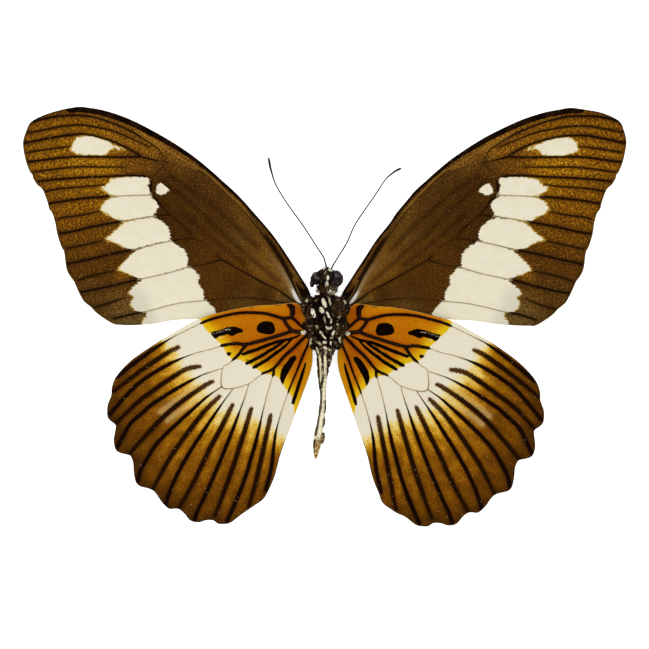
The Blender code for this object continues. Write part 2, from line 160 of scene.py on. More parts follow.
FOREWING_CREAM = [
    [(38.2, 25.0), (37.95, 25.5), (37.7, 26.25), (37.2, 26.8), (36.45, 27.0), (34.95, 27.0),
     (33.75, 26.6), (32.25, 26.0), (31.05, 25.4), (29.85, 24.8), (30.75, 24.9), (31.65, 25.2),
     (32.1, 25.0), (32.4, 24.5), (32.85, 24.15), (34.5, 24.1), (36.15, 24.1), (37.35, 24.4),
     (37.95, 24.7)],
    [(32.25, 20.5), (30.1, 20.85), (28.2, 20.9), (26.5, 20.8), (26.2, 20.25), (26.25, 19.8),
     (26.6, 19.55), (26.15, 19.05), (26.25, 18.05), (27.7, 17.9), (31.05, 17.85),
     (32.25, 18.25), (33.1, 18.6), (33.65, 19.2), (32.95, 19.55), (32.5, 19.9)],
    [(25.4, 19.05), (25.2, 19.7), (24.6, 20), (24.15, 19.8), (23.55, 19.25), (23.1, 18.8),
     (23.7, 18.4), (24.75, 17.9), (25.35, 18.3)],
    [(33.75, 16), (33.2, 17.05), (32, 17.75), (30.55, 18.05), (26.25, 18.15), (25.4, 17.4),
     (24.85, 16.55), (25.2, 15.7), (25.65, 14.95), (27.2, 14.7), (29.15, 14.3),
     (30.8, 14.25), (32, 14.9), (32.95, 15.35)],
    [(33.1, 11.4), (31.7, 12.55), (30.55, 13.7), (29.6, 14.25), (28.2, 14.55), (25.8, 14.9),
     (24.6, 14.4), (23.65, 13.55), (23.15, 12.6), (23.15, 11.65), (23.4, 11.15),
     (25.3, 10.8), (27.2, 10.3), (28.8, 9.9), (30, 10.1), (31.25, 10.95)],
    [(31.15, 6.9), (30.55, 7.65), (29.75, 8.55), (29.05, 9.25), (28.25, 9.95), (26.55, 10.5),
     (24.75, 11), (23.05, 11.4), (22.55, 10.95), (21.65, 10.4), (21.1, 9.95), (20.6, 9.25),
     (20.5, 8.55), (20.5, 8), (20.6, 7.2), (22.8, 6.6), (24.5, 6.15), (26.25, 5.7),
     (27.1, 5.45), (28.25, 5.7), (29.2, 6.15), (30.55, 6.7)],
    [(29.55, 3.4), (29.05, 4.1), (28.25, 4.9), (27.35, 5.6), (25.35, 6.15), (23.25, 6.7),
     (20, 7.4), (19.2, 6.5), (18.6, 5.8), (19.0, 5.1), (18.6, 4.4), (18.15, 3.85),
     (18.1, 3), (18.0, 2.1), (19.35, 2), (21.65, 1.8), (23.95, 1.25), (26, 0.65),
     (27.7, 0.45), (28.5, 0.85), (29.05, 1.3), (29.2, 2), (28.7, 2.8)],
    [(27, 0.75), (26.75, -0.05), (27.35, -0.65), (27.7, -1.6), (26.25, -1.9), (22.8, -1.4),
     (18.75, -0.9), (16.25, -0.45), (16.15, 0.3), (16.5, 1.1), (17.05, 1.8), (17.85, 2.4),
     (19.35, 2.3), (21.65, 2.1), (23.95, 1.55), (26.25, 1)],
]

HINDWING_OUTLINE = [
    [(2.7, -0.6), (3.45, 1.1), (4.0, 1.62), (4.75, 1.9), (7.35, 1.6), (10.55, 1.4),
     (14.45, 0.7), (18.55, -0.4), (22.3, -2.4), (25.7, -4.45), (28.95, -6.7), (31.1, -8.95),
     (31.85, -10.6), (31.95, -11.85), (32.25, -12.65), (32.55, -13.55), (32.5, -15.15),
     (31.8, -15.9)],
    [(31.8, -15.9), (31.3, -16.4), (31.45, -17.6), (31.6, -18.7), (31.35, -19.9),
     (30.9, -20.35), (29.95, -20.65)],
    [(29.95, -20.65), (29.15, -20.9), (28.7, -21.95), (28.6, -23.3), (28.35, -24.7),
     (27.8, -25.4), (26.75, -25.7)],
    [(26.75, -25.7), (25.85, -26.05), (25.15, -26.75), (24.45, -27.8), (23.4, -28.8),
     (22.65, -28.8)],
    [(22.65, -28.8), (21.85, -28.9), (21.0, -29.6), (20.5, -30.25), (19.95, -30.7),
     (18.95, -30.85), (18.1, -30.6)],
    [(18.1, -30.6), (17.45, -30.5), (16.65, -30.6), (16.05, -31.05), (15.2, -31.1),
     (14.2, -30.9), (12.6, -29.7), (10.45, -28.2), (9.45, -27.5), (8.75, -26.5),
     (7.65, -24.0), (6.7, -20.5), (5.5, -17.2), (3.3, -11.3), (2.15, -7.9),
     (1.93, -5.4), (2.4, -3.1), (2.7, -0.6)],
]

HINDWING_VEINS = [
    [(3.15, -2.5), (4.75, -2.25), (5.65, -1.35), (6.2, -0.5), (6.7, -0.25),
     (8, 0.15), (9.25, 0.4), (11.2, 0.5), (13.15, 0.4), (15.1, 0),
     (17, -0.5), (18.55, -1.1), (22.25, -2.9), (24.55, -4.25), (26.85, -5.8),
     (29.15, -7.5), (31.1, -9.1)],
    [(2.6, -2.35), (3.3, -1.7), (3.9, -1.15), (4.4, -0.65), (4.9, -0.2), (4.87, 0.6),
     (4.95, 1.3), (5.4, 1.6)],
    [(4.9, -0.2), (6.2, -0.4)],
    [(3.15, -2.5), (4.75, -2.25), (6.05, -2.65), (7.35, -3.05), (9.9, -3.8),
     (12, -4.25), (13.15, -4.1), (14.45, -4.25), (15.45, -4.45), (17, -4.95),
     (19.95, -5.75), (23.4, -7.25), (26.85, -9.3), (29.15, -11.25),
     (32.25, -14.7)],
    [(15.3, -7.8), (17, -8.35), (18.3, -8.8), (20.3, -9.8), (22.25, -10.9),
     (25.7, -13.1), (27.35, -14.5), (29.1, -16.05), (30.2, -17.85),
     (31.2, -19.8)],
    [(15.4, -10.55), (17.35, -11.85), (19.2, -13.45), (21.5, -15.5),
     (23.75, -17.6), (25.4, -19.4), (26.75, -21.5), (27.7, -23.3),
     (28.1, -24.9)],
    [(13.7, -10.8), (15.05, -12.65), (16.5, -14.7), (17.9, -16.8),
     (19.35, -18.95), (20.8, -21.3), (21.95, -23.4), (22.95, -25.5),
     (23.65, -27.4), (23.9, -28.35)],
    [(11.35, -10.1), (12, -12.2), (12.65, -13.95), (13.15, -15.3),
     (13.75, -16.9), (15.9, -22.2), (18.05, -27.1), (18.95, -28.8),
     (19.55, -30.5)],
    [(7.65, -8.6), (8, -9.6), (8.6, -11.55), (9.3, -14.3), (9.75, -16.35),
     (10.3, -18.65), (11.05, -21.2), (11.8, -23.8), (12.6, -25.95),
     (13.5, -28.1), (14.7, -30.75)],
    [(2.2, -3.3), (2.5, -4.2), (3.15, -5.6), (3.6, -6.7), (4.35, -8.6), (5, -10.1),
     (5.9, -12.45), (6.55, -14.4), (7.3, -17.2), (7.65, -19.5), (7.9, -21.8),
     (8.3, -23.95), (8.9, -26.1)],
    [(11.9, -4.45), (12.75, -5.6), (13.55, -6.4), (14.45, -7.15), (15.3, -7.8),
     (15.4, -10.55), (13.7, -10.8), (11.35, -10.1), (10.15, -9.2),
     (9.25, -8.6), (7.65, -7.8), (6.05, -6), (4.75, -4.85), (3.5, -3.6),
     (2.6, -2.8)],
    [(7.65, -7.8), (7.65, -8.6)],
]

HINDWING_STRIPES = [
    [(21.9, -4.65), (23.4, -5.4), (25.7, -6.9), (28, -8.5), (30.3, -10.25),
     (31.7, -11.3)],
    [(18.7, -7.55), (20.75, -7.95), (23.4, -9.55), (25.7, -11.15),
     (28, -12.85), (30.3, -15.05), (31.6, -16.35)],
    [(16.75, -9.8), (17.7, -10.25), (21.1, -12.55), (24, -14.95),
     (27.2, -18.25), (29.6, -21)],
    [(15.75, -12), (18.2, -14.45), (21.2, -18.35), (23.65, -21.95),
     (25.8, -25.95)],
    [(13.8, -13.25), (15.5, -16.6), (17.65, -20.65), (19.65, -24.8),
     (21.9, -28.8)],
    [(11, -13.8), (12.2, -17.75), (13.75, -22.5), (15.35, -26.95),
     (16.55, -30)],
    [(8.1, -14.8), (9.2, -19.75), (10.45, -25.25), (11.45, -28.5)],
]

# Black rays and marks on the orange base
HINDWING_RAYS = [
    [(3.75, -2.85), (4.65, -3.24), (5.85, -3.59), (7.05, -3.83), (8.25, -4.25), (10.05, -4.95),
     (11.25, -5.36), (12.3, -5.72)],
    [(6.0, -3.7), (7.05, -4.45), (8.25, -5.19), (9.45, -5.93), (10.65, -6.57), (11.7, -7.1)],
    [(5.0, -3.55), (5.85, -4.4), (6.45, -4.92), (7.65, -5.79), (8.85, -6.66), (10.65, -7.7)],
    [(2.93, -7.05), (3.08, -7.65), (3.45, -8.85), (3.9, -10.2), (4.35, -11.63), (4.8, -13.05)],
]

HINDWING_BLACK = [
    [(10.25, -1.95), (10.1, -1.45), (9.8, -1.05), (9.3, -0.8), (8.7, -0.75), (7.9, -0.88),
     (7.6, -1.2), (7.5, -1.65), (7.38, -1.95), (7.45, -2.38), (7.75, -2.7), (8.25, -2.8),
     (8.9, -2.7), (9.65, -2.58), (10.05, -2.38)],
    [(17.1, -2.4), (16.8, -2.3), (16.2, -2.2), (15.6, -2.02), (15, -1.8), (14.55, -1.65),
     (13.95, -1.58), (13.2, -1.64), (12.7, -1.8), (12.22, -2.0), (12.13, -2.25), (12.4, -2.53),
     (12.9, -2.55), (13.35, -2.76), (13.73, -3.0), (14.1, -2.97), (14.55, -2.76), (15.15, -2.9),
     (15.75, -3.05), (16.05, -3.2), (16.35, -3.43), (16.7, -3.2), (16.95, -2.8)],
    [(4.25, -5.95), (4.22, -6.4), (4.6, -7.0), (5.2, -8.05), (5.8, -9.1), (6.05, -9.7),
     (6.22, -10.28), (6.42, -10.28), (6.65, -9.6), (6.74, -9.0), (6.5, -7.95), (5.9, -7.05),
     (5.3, -6.3), (4.7, -5.82)],
    [(14.82, -5.46), (14.55, -5.47), (14.25, -5.34), (13.9, -5.4), (14.05, -5.82), (14.33, -6.0),
     (14.6, -5.9), (14.75, -5.72)],
    [(11.98, -6.3), (11.72, -6.25), (11.65, -6.5), (11.9, -6.58)],
    [(5.7, 1.75), (5.0, 1.8), (4.45, 1.5), (4.45, 0.2), (4.7, -0.1), (5.2, 0.0), (5.28, 1.0)],
    [(5.1, 1.95), (7.35, 1.7), (10.55, 1.5), (12.9, 1.0), (10.55, 1.28), (7.35, 1.45),
     (5.2, 1.65)],
]

HINDWING_ORANGE = [
    [(18.3, -1.35), (18.05, -1.85), (17, -2.75), (16.4, -3.4), (15.45, -4.3), (14.95, -5.2),
     (14.45, -6), (13.65, -6.5), (12.9, -6.5), (12, -6.9), (11.2, -7.4), (10.15, -7.95),
     (9.5, -8.45), (8.6, -8.7), (7.7, -8.85), (7.1, -9.1), (6.7, -9.6), (6.3, -10.25),
     (5.65, -11.15), (5, -11.95), (4.75, -13.25), (4.5, -15.1), (2.5, -17.0), (-2.5, -10.0),
     (-3.0, -3.6), (-1.0, 6.0), (6.75, 6.5), (13.5, 5.5), (17.5, 3.0), (18.9, 0.0)],
]

# Where the cream of the hindwing starts to turn brown, from the costa to the inner edge
HINDWING_FADE = [
    (25.05, -2.1), (23.2, -3.9), (21.35, -5.65), (20.9, -7.15), (19.4, -8.4), (17.9, -10),
    (16.65, -11.7), (14.85, -13.35), (11.9, -14.05), (10.45, -14.6), (9.05, -15.45),
    (7.6, -16.2), (6.3, -17.4), (4.35, -18),
]
FADE_DISTANCES = (-0.5, 0.0, 0.7, 1.5, 2.6, 4.0, 6.0, 9.0, 13.0)
FADE_TONES = (1.25, 1.02, 0.92, 0.84, 0.74, 0.65, 0.58, 0.505, 0.42)
# Rubbed, paler lanes in the brown
HINDWING_RUBS = [
    [(24.6, -14.4), (22.8, -13.0), (20.6, -11.5), (19.2, -10.6)],
    [(23.6, -15.6), (22.0, -14.4), (19.7, -12.9), (18.4, -12.0)],
]
# The white streak in the outer end of the long black spot
HINDWING_STREAK = [
    [(16.85, -2.62), (16.2, -2.5), (15.5, -2.33)],
    [(15.3, -2.2), (14.8, -2.1), (14.1, -2.0)],
    [(16.0, -3.3), (15.5, -3.22), (15.1, -3.1)],
]

# The black wedge between the forewing's first veins, at its root
FOREWING_WEDGE = [
    [(4.65, 6.0), (4.43, 5.48), (4.05, 4.8), (3.68, 4.35), (3.3, 4.05), (2.45, 3.9),
     (2.2, 3.45), (1.9, 2.7), (1.9, 2.2), (2.7, 2.1), (3.3, 2.4), (3.75, 3.3), (4.2, 4.35),
     (4.5, 5.2)],
]
# The bare, silvery streak that runs from the root into the cell
FOREWING_SILVER = [
    [(3.7, 2.0), (4.3, 2.85), (4.85, 3.9), (5.5, 5.2), (6.3, 6.7), (7.3, 8.0), (8.6, 9.6)],
]
# Half width of the dark veins, as dabs of (outboard, forward, reach, value)
FOREWING_INK = [
    (40, 25, 8, 0.17), (35, 15, 6, 0.165), (30, 5, 5, 0.15), (33, 28.5, 3, 0.13),
    (27.5, 24, 2.2, 0.15), (24.3, 23.2, 1.5, 0.04), (25.5, 25.8, 1.8, 0.05),
    (20, 21.7, 3, 0.0), (15, 18, 3, -0.02), (11, 14, 2.5, 0.06), (7.5, 10, 2, 0.15),
    (4.9, 5, 2, 0.15), (25.3, 21.2, 1, 0.0), (26.1, 18.6, 1.1, 0.2), (22, 14, 2.5, 0.06),
    (18, 10.6, 1.5, 0.02), (14, 7.5, 2.5, 0.10), (9, 4.8, 2.5, 0.14), (5.5, 2.6, 1.5, 0.14),
    (15, 2.7, 4, 0.03), (8, 2.4, 2, 0.0), (22, 8, 3, 0.05),
]
# How the right wings differ from mirrored left ones
RIGHT_FOREWING_PULLS = [
    (3.0, 5.0, 2.0, 0.45, -0.5), (5.5, 8.6, 2.5, 0.55, -0.42), (8.5, 12.8, 2.5, 0.48, -0.38),
    (11.5, 16.3, 1.8, 0.2, -0.15), (16, 20.5, 3, 0.05, 0.0), (4.5, 2.0, 1.2, 0.2, -0.15),
    (9, 4.5, 3, 0.15, -0.1), (14, 9, 4, 0.15, -0.08), (22, 14, 5, 0.12, -0.05), (20, 1, 4, 0.1, -0.1),
    (24, 26.5, 3, 0.05, -0.1), (29, 28.5, 3, 0.15, -0.24), (34, 30.5, 3, 0.2, -0.28),
    (38, 31, 2, 0.25, -0.1), (43, 29, 3, 0.42, 0.1), (44, 23, 4, 0.12, 0.0), (41, 17, 3, 0.2, 0.0),
    (38, 8, 4, 0.3, -0.05), (35, 1.5, 3, 0.2, -0.25), (30, 15, 5, 0.25, -0.05),
    (27, 0.5, 2.5, 0.4, -0.05), (24, 19, 3, 0.0, 0.0), (29, 24, 3, 0.06, 0.0),
]
RIGHT_HINDWING_PULLS = [
    (4, -2, 4, 0.0, 0.0), (14, -3, 4, 0.05, 0.0), (20, -2, 2.5, 0.25, 0.08), (25, -5, 3, 0.42, 0.2),
    (30, -9, 3, 0.42, 0.1), (32, -13, 3, 0.4, 0.0), (31, -19, 3, 0.15, 0.0), (23, -12, 4, 0.25, 0.0),
    (27, -25, 4, 0.1, -0.05), (20, -29, 4, 0.1, 0.0), (14, -30, 2, 0.0, 0.05),
    (11, -28.4, 1.3, -0.2, -0.3), (6, -14, 6, 0.0, 0.0), (15, -16, 6, 0.0, 0.0),
]
# Width of the black front edge of the forewing, by distance outboard
COSTA_PLACES = (2.0, 2.9, 3.6, 7.0, 9.75, 14.0, 19.0, 24.0, 30.0, 38.0, 39.0, 43.0)
COSTA_WIDTHS = (0.35, 0.3, 0.26, 0.27, 0.29, 0.36, 0.46, 0.74, 0.84, 0.76, 0.16, 0.10)

# Dabs are (outboard, forward, reach, value): a smooth field is blended between them
FOREWING_TONE = [
    (42.5, 28.5, 3.5, 0.62), (37, 29.5, 3, 0.64), (36, 22.8, 3, 0.82), (41, 23.5, 3, 0.68),
    (33, 22.4, 2.5, 0.76), (29, 22.4, 2, 0.52), (37.5, 19.5, 3, 0.66), (41.5, 19, 2, 0.58),
    (37, 16, 3, 0.60), (36.5, 11.8, 3, 0.505), (35.5, 7.2, 3, 0.405), (34, 3, 3, 0.385),
    (30.2, 0, 1.6, 0.46), (31.2, 2.9, 1.1, 0.51), (30.7, 6.2, 0.8, 0.58), (31, 28, 2.5, 0.66),
    (26.5, 25, 2, 0.64), (30.3, 24.6, 1, 0.66), (22, 23.4, 2, 0.54), (27, 22, 1.6, 0.44),
    (24, 21.5, 1.8, 0.33), (21.5, 19.5, 2.5, 0.31), (22.5, 14.8, 2, 0.28), (17, 17, 3, 0.34),
    (15.2, 13.8, 1.5, 0.29), (21, 10.8, 1.5, 0.30), (13, 13, 3, 0.42), (11, 15.6, 2, 0.47),
    (8, 9, 2.5, 0.50), (6, 6, 2, 0.55), (16.5, 6, 3, 0.36), (12.5, 4.7, 2.0, 0.30),
    (9.3, 3.6, 1.2, 0.25), (13.5, 8.1, 1.5, 0.44), (11, 1.4, 2, 0.46), (5.5, 3.2, 1.2, 0.48),
    (4.6, 3.4, 0.7, 0.6), (9.5, 6.5, 2, 0.54), (5.3, 8.2, 0.7, 0.42), (3.3, 5.0, 0.6, 0.32),
]
# How much the brown is greyed by bare or dusty membrane
FOREWING_GREY = [
    (42, 26, 6, 0.0), (36, 14, 6, 0.0), (34, 2, 3, 0.25), (30.5, -0.5, 2, 0.5),
    (28, 26, 3, 0.1), (22.5, 23, 2.5, 0.2), (17, 20, 3, 0.25), (12, 14.5, 3, 0.25),
    (8, 10, 2.5, 0.2), (6, 6.3, 2, 0.25), (4.4, 2.9, 1, 0.5), (9, 3.5, 2, 0.15),
    (20, 16, 4, 0.05), (16, 6, 3, 0.05), (12, 1.2, 2, 0.3), (6, 1.5, 1.5, 0.4),
    (5.3, 8.6, 0.6, 0.1), (3.3, 5.0, 0.6, 0.1), (6.5, 7.4, 1, 0.28),
]
# Where the cream is rubbed thin and greyish
FOREWING_THIN = [
    (28, 2.5, 1.6, 0.9), (27.4, 0.6, 1.4, 1.0), (26.5, -0.6, 1.2, 0.9), (24, 3, 3, 0.0),
    (28, 8, 3, 0.0), (22, 0.5, 2.5, 0.1), (30, 15, 5, 0.0), (35, 25, 5, 0.0),
    (29.3, 6.6, 1.2, 0.5),
]
# How red the orange is
HINDWING_RED = [
    (3.9, 0.5, 1.1, 0.9), (6, 0.7, 1.6, 0.35), (3.1, -0.5, 0.9, 0.3), (2.6, -2.8, 0.9, 0.1),
    (2.6, -4.9, 0.8, 0.0), (12, -1, 3, 0.55), (7, -1.5, 1.5, 0.6),
    (16.5, -2.0, 1.5, 0.2), (10, 1.3, 2, 0.15), (14, 0.3, 2, 0.1), (13.5, -5.3, 1.4, 0.2),
    (9, -4.2, 1.6, 0.5), (9.5, -7.2, 1.4, 0.3), (5.5, -6, 1.5, 0.45), (4.2, -4.6, 1.4, 0.85),
    (4.7, -4.0, 0.9, 0.4), (2.6, -6, 1, 0.15), (3.7, -5.8, 0.7, 0.75), (3.2, -10, 1.5, 0.2),
    (6.5, -9, 1, 0.3),
]
# Half width of the veins on the orange, as dabs
HINDWING_INK = [
    (3.2, -0.6, 1.0, 0.19), (3.0, -4.5, 1.0, 0.19), (5, 0.8, 1.2, 0.26), (10, 0.4, 3, 0.24),
    (16, -0.5, 3, 0.22), (9, -3.6, 2.5, 0.28), (14, -4.4, 2, 0.26), (4, -2.5, 1.2, 0.26),
    (5.5, -5.4, 1.5, 0.26), (8, -8, 1.5, 0.22), (3.6, -6.7, 1.5, 0.19), (5, -10.1, 2, 0.15),
    (13.6, -6.5, 1.2, 0.22),
]
# How slowly the cream turns brown: small is a sudden change
HINDWING_PACE = [
    (25, -6, 4, 0.9), (24, -9, 3, 1.15), (21, -11, 2.5, 1.4), (19.5, -13, 2.5, 1.6),
    (17, -16, 3, 1.6), (12.5, -18, 3, 1.35), (8.5, -18, 2.5, 1.2), (5.5, -20, 2, 1.3),
    (30, -12, 3, 1.05),
]

# The body, in millimetres
THORAX_CENTRE = (0.15, -0.75, 2.95)
THORAX_HALF = (2.95, 4.15, 2.8)
BODY_LOW = 0.02
BODY_TOP = 6.38
LEG_LIFT = 0.12
HAIR_RADIUS = 0.028
# Scales are set down on the skin from this height
ABOVE = 20
# Each leg's course over the thorax, hip to foot, as the folded legs lie
LEG_COURSES = {
    "left_foreleg": [(-0.75, 3.15), (-0.12, 1.95), (0.15, 1.05), (0.45, 0.15), (0.75, -0.75),
                     (0.90, -1.65)],
    "right_foreleg": [(1.20, 3.30), (0.70, 2.17), (0.53, 1.05), (0.07, 0.0), (-0.07, -0.60),
                      (0.22, -1.72)],
    "left_midleg": [(-2.10, 1.50), (-1.74, 0.45), (-1.43, -0.60), (-1.05, -1.50),
                    (-0.60, -2.40), (-0.05, -3.15), (0.03, -3.90)],
    "right_midleg": [(2.40, 1.50), (1.95, 0.30), (1.72, -0.90), (1.27, -2.25), (1.0, -3.20),
                     (0.84, -4.0)],
    "left_hindleg": [(-2.40, -0.60), (-2.10, -1.80), (-1.65, -3.0), (-0.82, -4.05),
                     (0.0, -4.74)],
    "right_hindleg": [(2.70, -0.60), (2.48, -2.10), (1.95, -3.30), (1.20, -4.35),
                      (0.69, -5.01)],
}
LEG_SHARES = (0.0, 0.2, 0.45, 0.52, 0.8, 1.0)
LEG_RADII = (0.34, 0.42, 0.24, 0.28, 0.17, 0.10)
# The antennae and palps are (x, y, z, radius)
ANTENNAE = {
    "left": [(0.3, 6.9, 3.0, 0.12), (0.15, 7.5, 3.0, 0.12), (0.0, 8.1, 3.0, 0.11),
             (-0.25, 8.8, 2.98, 0.105), (-1.1, 10.1, 2.95, 0.105), (-3.3, 13.5, 2.85, 0.103),
             (-5.6, 16.7, 2.75, 0.103),
             (-7.3, 19.5, 2.68, 0.105), (-7.95, 21.4, 2.64, 0.14), (-8.2, 22.4, 2.62, 0.18),
             (-8.35, 23.3, 2.6, 0.16), (-8.4, 23.65, 2.6, 0.04)],
    "right": [(0.85, 6.8, 3.0, 0.12), (1.1, 7.35, 3.0, 0.12), (1.4, 7.85, 3.0, 0.11),
              (2.0, 8.85, 2.98, 0.105), (3.2, 10.8, 2.92, 0.105), (4.6, 13.8, 2.85, 0.103),
              (7.2, 17.6, 2.75, 0.103),
              (9.0, 20.3, 2.66, 0.105), (10.1, 21.3, 2.64, 0.14), (10.7, 21.7, 2.62, 0.17),
              (11.2, 21.93, 2.6, 0.16), (11.42, 22.0, 2.6, 0.04)],
}
PALPS = {
    "left": [(0.0, 4.7, 4.1, 0.25), (-0.1, 5.6, 4.5, 0.40), (-0.15, 6.4, 4.5, 0.42),
             (-0.12, 6.95, 4.3, 0.30), (-0.09, 7.25, 4.1, 0.10)],
    "right": [(0.5, 4.7, 4.1, 0.25), (0.6, 5.5, 4.5, 0.40), (0.7, 6.2, 4.5, 0.42),
              (0.74, 6.75, 4.3, 0.30), (0.76, 7.05, 4.1, 0.10)],
}
# The abdomen's axis and half width are (x, y, z, half), from the thorax to the tip
ABDOMEN_COURSE = [
    (0.04, -4.3, 3.0, 1.5), (0.02, -5.33, 3.0, 1.39), (-0.13, -6.7, 3.0, 1.12),
    (-0.35, -8.58, 2.9, 0.80), (-0.35, -10.44, 2.8, 0.59), (-0.26, -12.0, 2.7, 0.47),
    (-0.36, -13.65, 2.6, 0.56), (-0.5, -14.77, 2.5, 0.55), (-0.61, -16.03, 2.4, 0.65),
    (-0.95, -17.1, 2.3, 0.62), (-1.1, -18.3, 2.2, 0.62), (-1.2, -19.14, 2.15, 0.60),
    (-1.27, -20.1, 2.1, 0.50), (-1.37, -21.0, 2.05, 0.26), (-1.38, -21.45, 2.0, 0.05),
]
SEGMENT_LENGTH = 1.75
ABDOMEN_SIDES = 40
# Lines on the abdomen: the pale keel, whose half width grows towards the tip, the pale line
# and the ochre beside it, and the black marks
ABDOMEN_KEEL = [
    [(-0.05, -5.2), (0.0, -6.6), (0.05, -8.1), (0.0, -9.6), (-0.15, -11.1), (-0.22, -12.6),
     (-0.38, -14.1), (-0.6, -15.6), (-0.78, -17.1), (-1.0, -18.3)],
]
KEEL_PLACES = (6, 10, 13, 16, 18)
KEEL_WIDTHS = (0.24, 0.26, 0.32, 0.44, 0.44)
ABDOMEN_SIDE = [
    [(-0.95, -5.1), (-0.76, -6.3), (-0.62, -7.8), (-0.68, -9.3), (-0.84, -10.3)],
]
ABDOMEN_OCHRE = [
    [(-0.98, -6.0), (-0.9, -7.5), (-0.78, -8.5), (-0.84, -9.6)],
]
ABDOMEN_BLACK = [
    [(-1.28, -5.4), (-1.13, -6.6), (-1.02, -8.1), (-0.92, -9.6), (-0.74, -11.1), (-0.6, -11.9),
     (-0.66, -13.4), (-0.76, -14.1), (-0.95, -14.9), (-1.08, -15.9), (-1.23, -16.8), (-1.38, -17.7)],
    [(-0.6, -5.4), (-0.38, -6.3), (-0.38, -8.1), (-0.32, -9.3), (-0.5, -10.1), (-0.6, -11.2),
     (-0.62, -12.2)],
    [(0.4, -5.4), (0.52, -6.6), (0.45, -7.8), (0.38, -8.9)],
    [(0.1, -12.7), (0.12, -13.5), (0.04, -14.3)],
    [(-0.02, -15.3), (-0.1, -15.9), (-0.22, -16.4)],
    [(-1.62, -18.6), (-1.75, -19.3), (-1.7, -20.2)],
]
# The bases of the wings and the hips beside the thorax: (name, centre, half sizes, turn)
SIDE_LUMPS = [
    ("left_forewing_root", (-2.35, 1.85, 2.3), (0.95, 1.2, 0.85), 20),
    ("right_forewing_root", (2.55, 1.85, 2.3), (0.9, 1.2, 0.85), -20),
    ("left_shoulder", (-2.8, 0.6, 2.2), (0.62, 1.45, 0.7), 24),
    ("right_shoulder", (3.0, 0.6, 2.2), (0.62, 1.45, 0.7), -24),
    ("left_hindwing_root", (-2.6, -1.9, 2.55), (0.7, 1.2, 0.6), 35),
    ("right_hindwing_root", (2.85, -1.95, 2.55), (0.7, 1.2, 0.6), -35),
    ("left_hip", (-1.6, -3.75, 2.7), (0.72, 1.35, 1.15), 0),
    ("right_hip", (1.8, -3.75, 2.7), (0.72, 1.35, 1.15), 0),
]
# The shrivelled eyes, each with a lobe: (name, centre, half sizes, bumps, turn)
EYE_LUMPS = [
    ("left_eye", (-1.25, 5.65, 3.3), (0.85, 1.02, 1.1), 0.55, -20),
    ("left_eye_lobe", (-1.85, 4.95, 3.0), (0.38, 0.68, 0.65), 0.2, -12),
    ("right_eye", (1.72, 5.55, 3.3), (0.98, 1.22, 1.25), 0.18, 8),
    ("right_eye_lobe", (1.42, 4.85, 3.95), (0.50, 0.48, 0.55), 0.1, 0),
]
# Zones of rubbed scales are (x, y, half across, half along, number, darkest, palest)
BODY_SPECKLES = [
    (1.65, 0.6, 0.9, 1.5, 100, 0.08, 0.66), (1.35, 1.9, 0.5, 0.7, 40, 0.1, 0.6),
    (-2.7, 1.5, 0.9, 1.3, 100, 0.05, 0.6),
    (-1.5, -2.7, 1.1, 1.7, 130, 0.0, 0.66), (1.95, -2.85, 1.0, 1.9, 130, 0.0, 0.68),
    (0.45, 3.75, 1.4, 0.8, 130, 0.0, 0.62), (-0.3, 5.4, 0.5, 1.2, 35, 0.05, 0.5),
    (-0.1, -4.9, 1.6, 0.8, 120, 0.0, 0.8), (0.75, -7.2, 0.35, 1.7, 60, 0.05, 0.9),
    (2.7, 1.6, 0.8, 1.3, 90, 0.05, 0.62), (-1.9, -0.6, 0.9, 1.0, 70, 0.0, 0.45),
    (0.0, 0.0, 2.6, 3.6, 200, 0.0, 0.36), (-0.95, -19.2, 0.5, 1.6, 24, 0.4, 0.95),
    (-0.2, -11.0, 0.5, 5.0, 50, 0.6, 1.0),
]
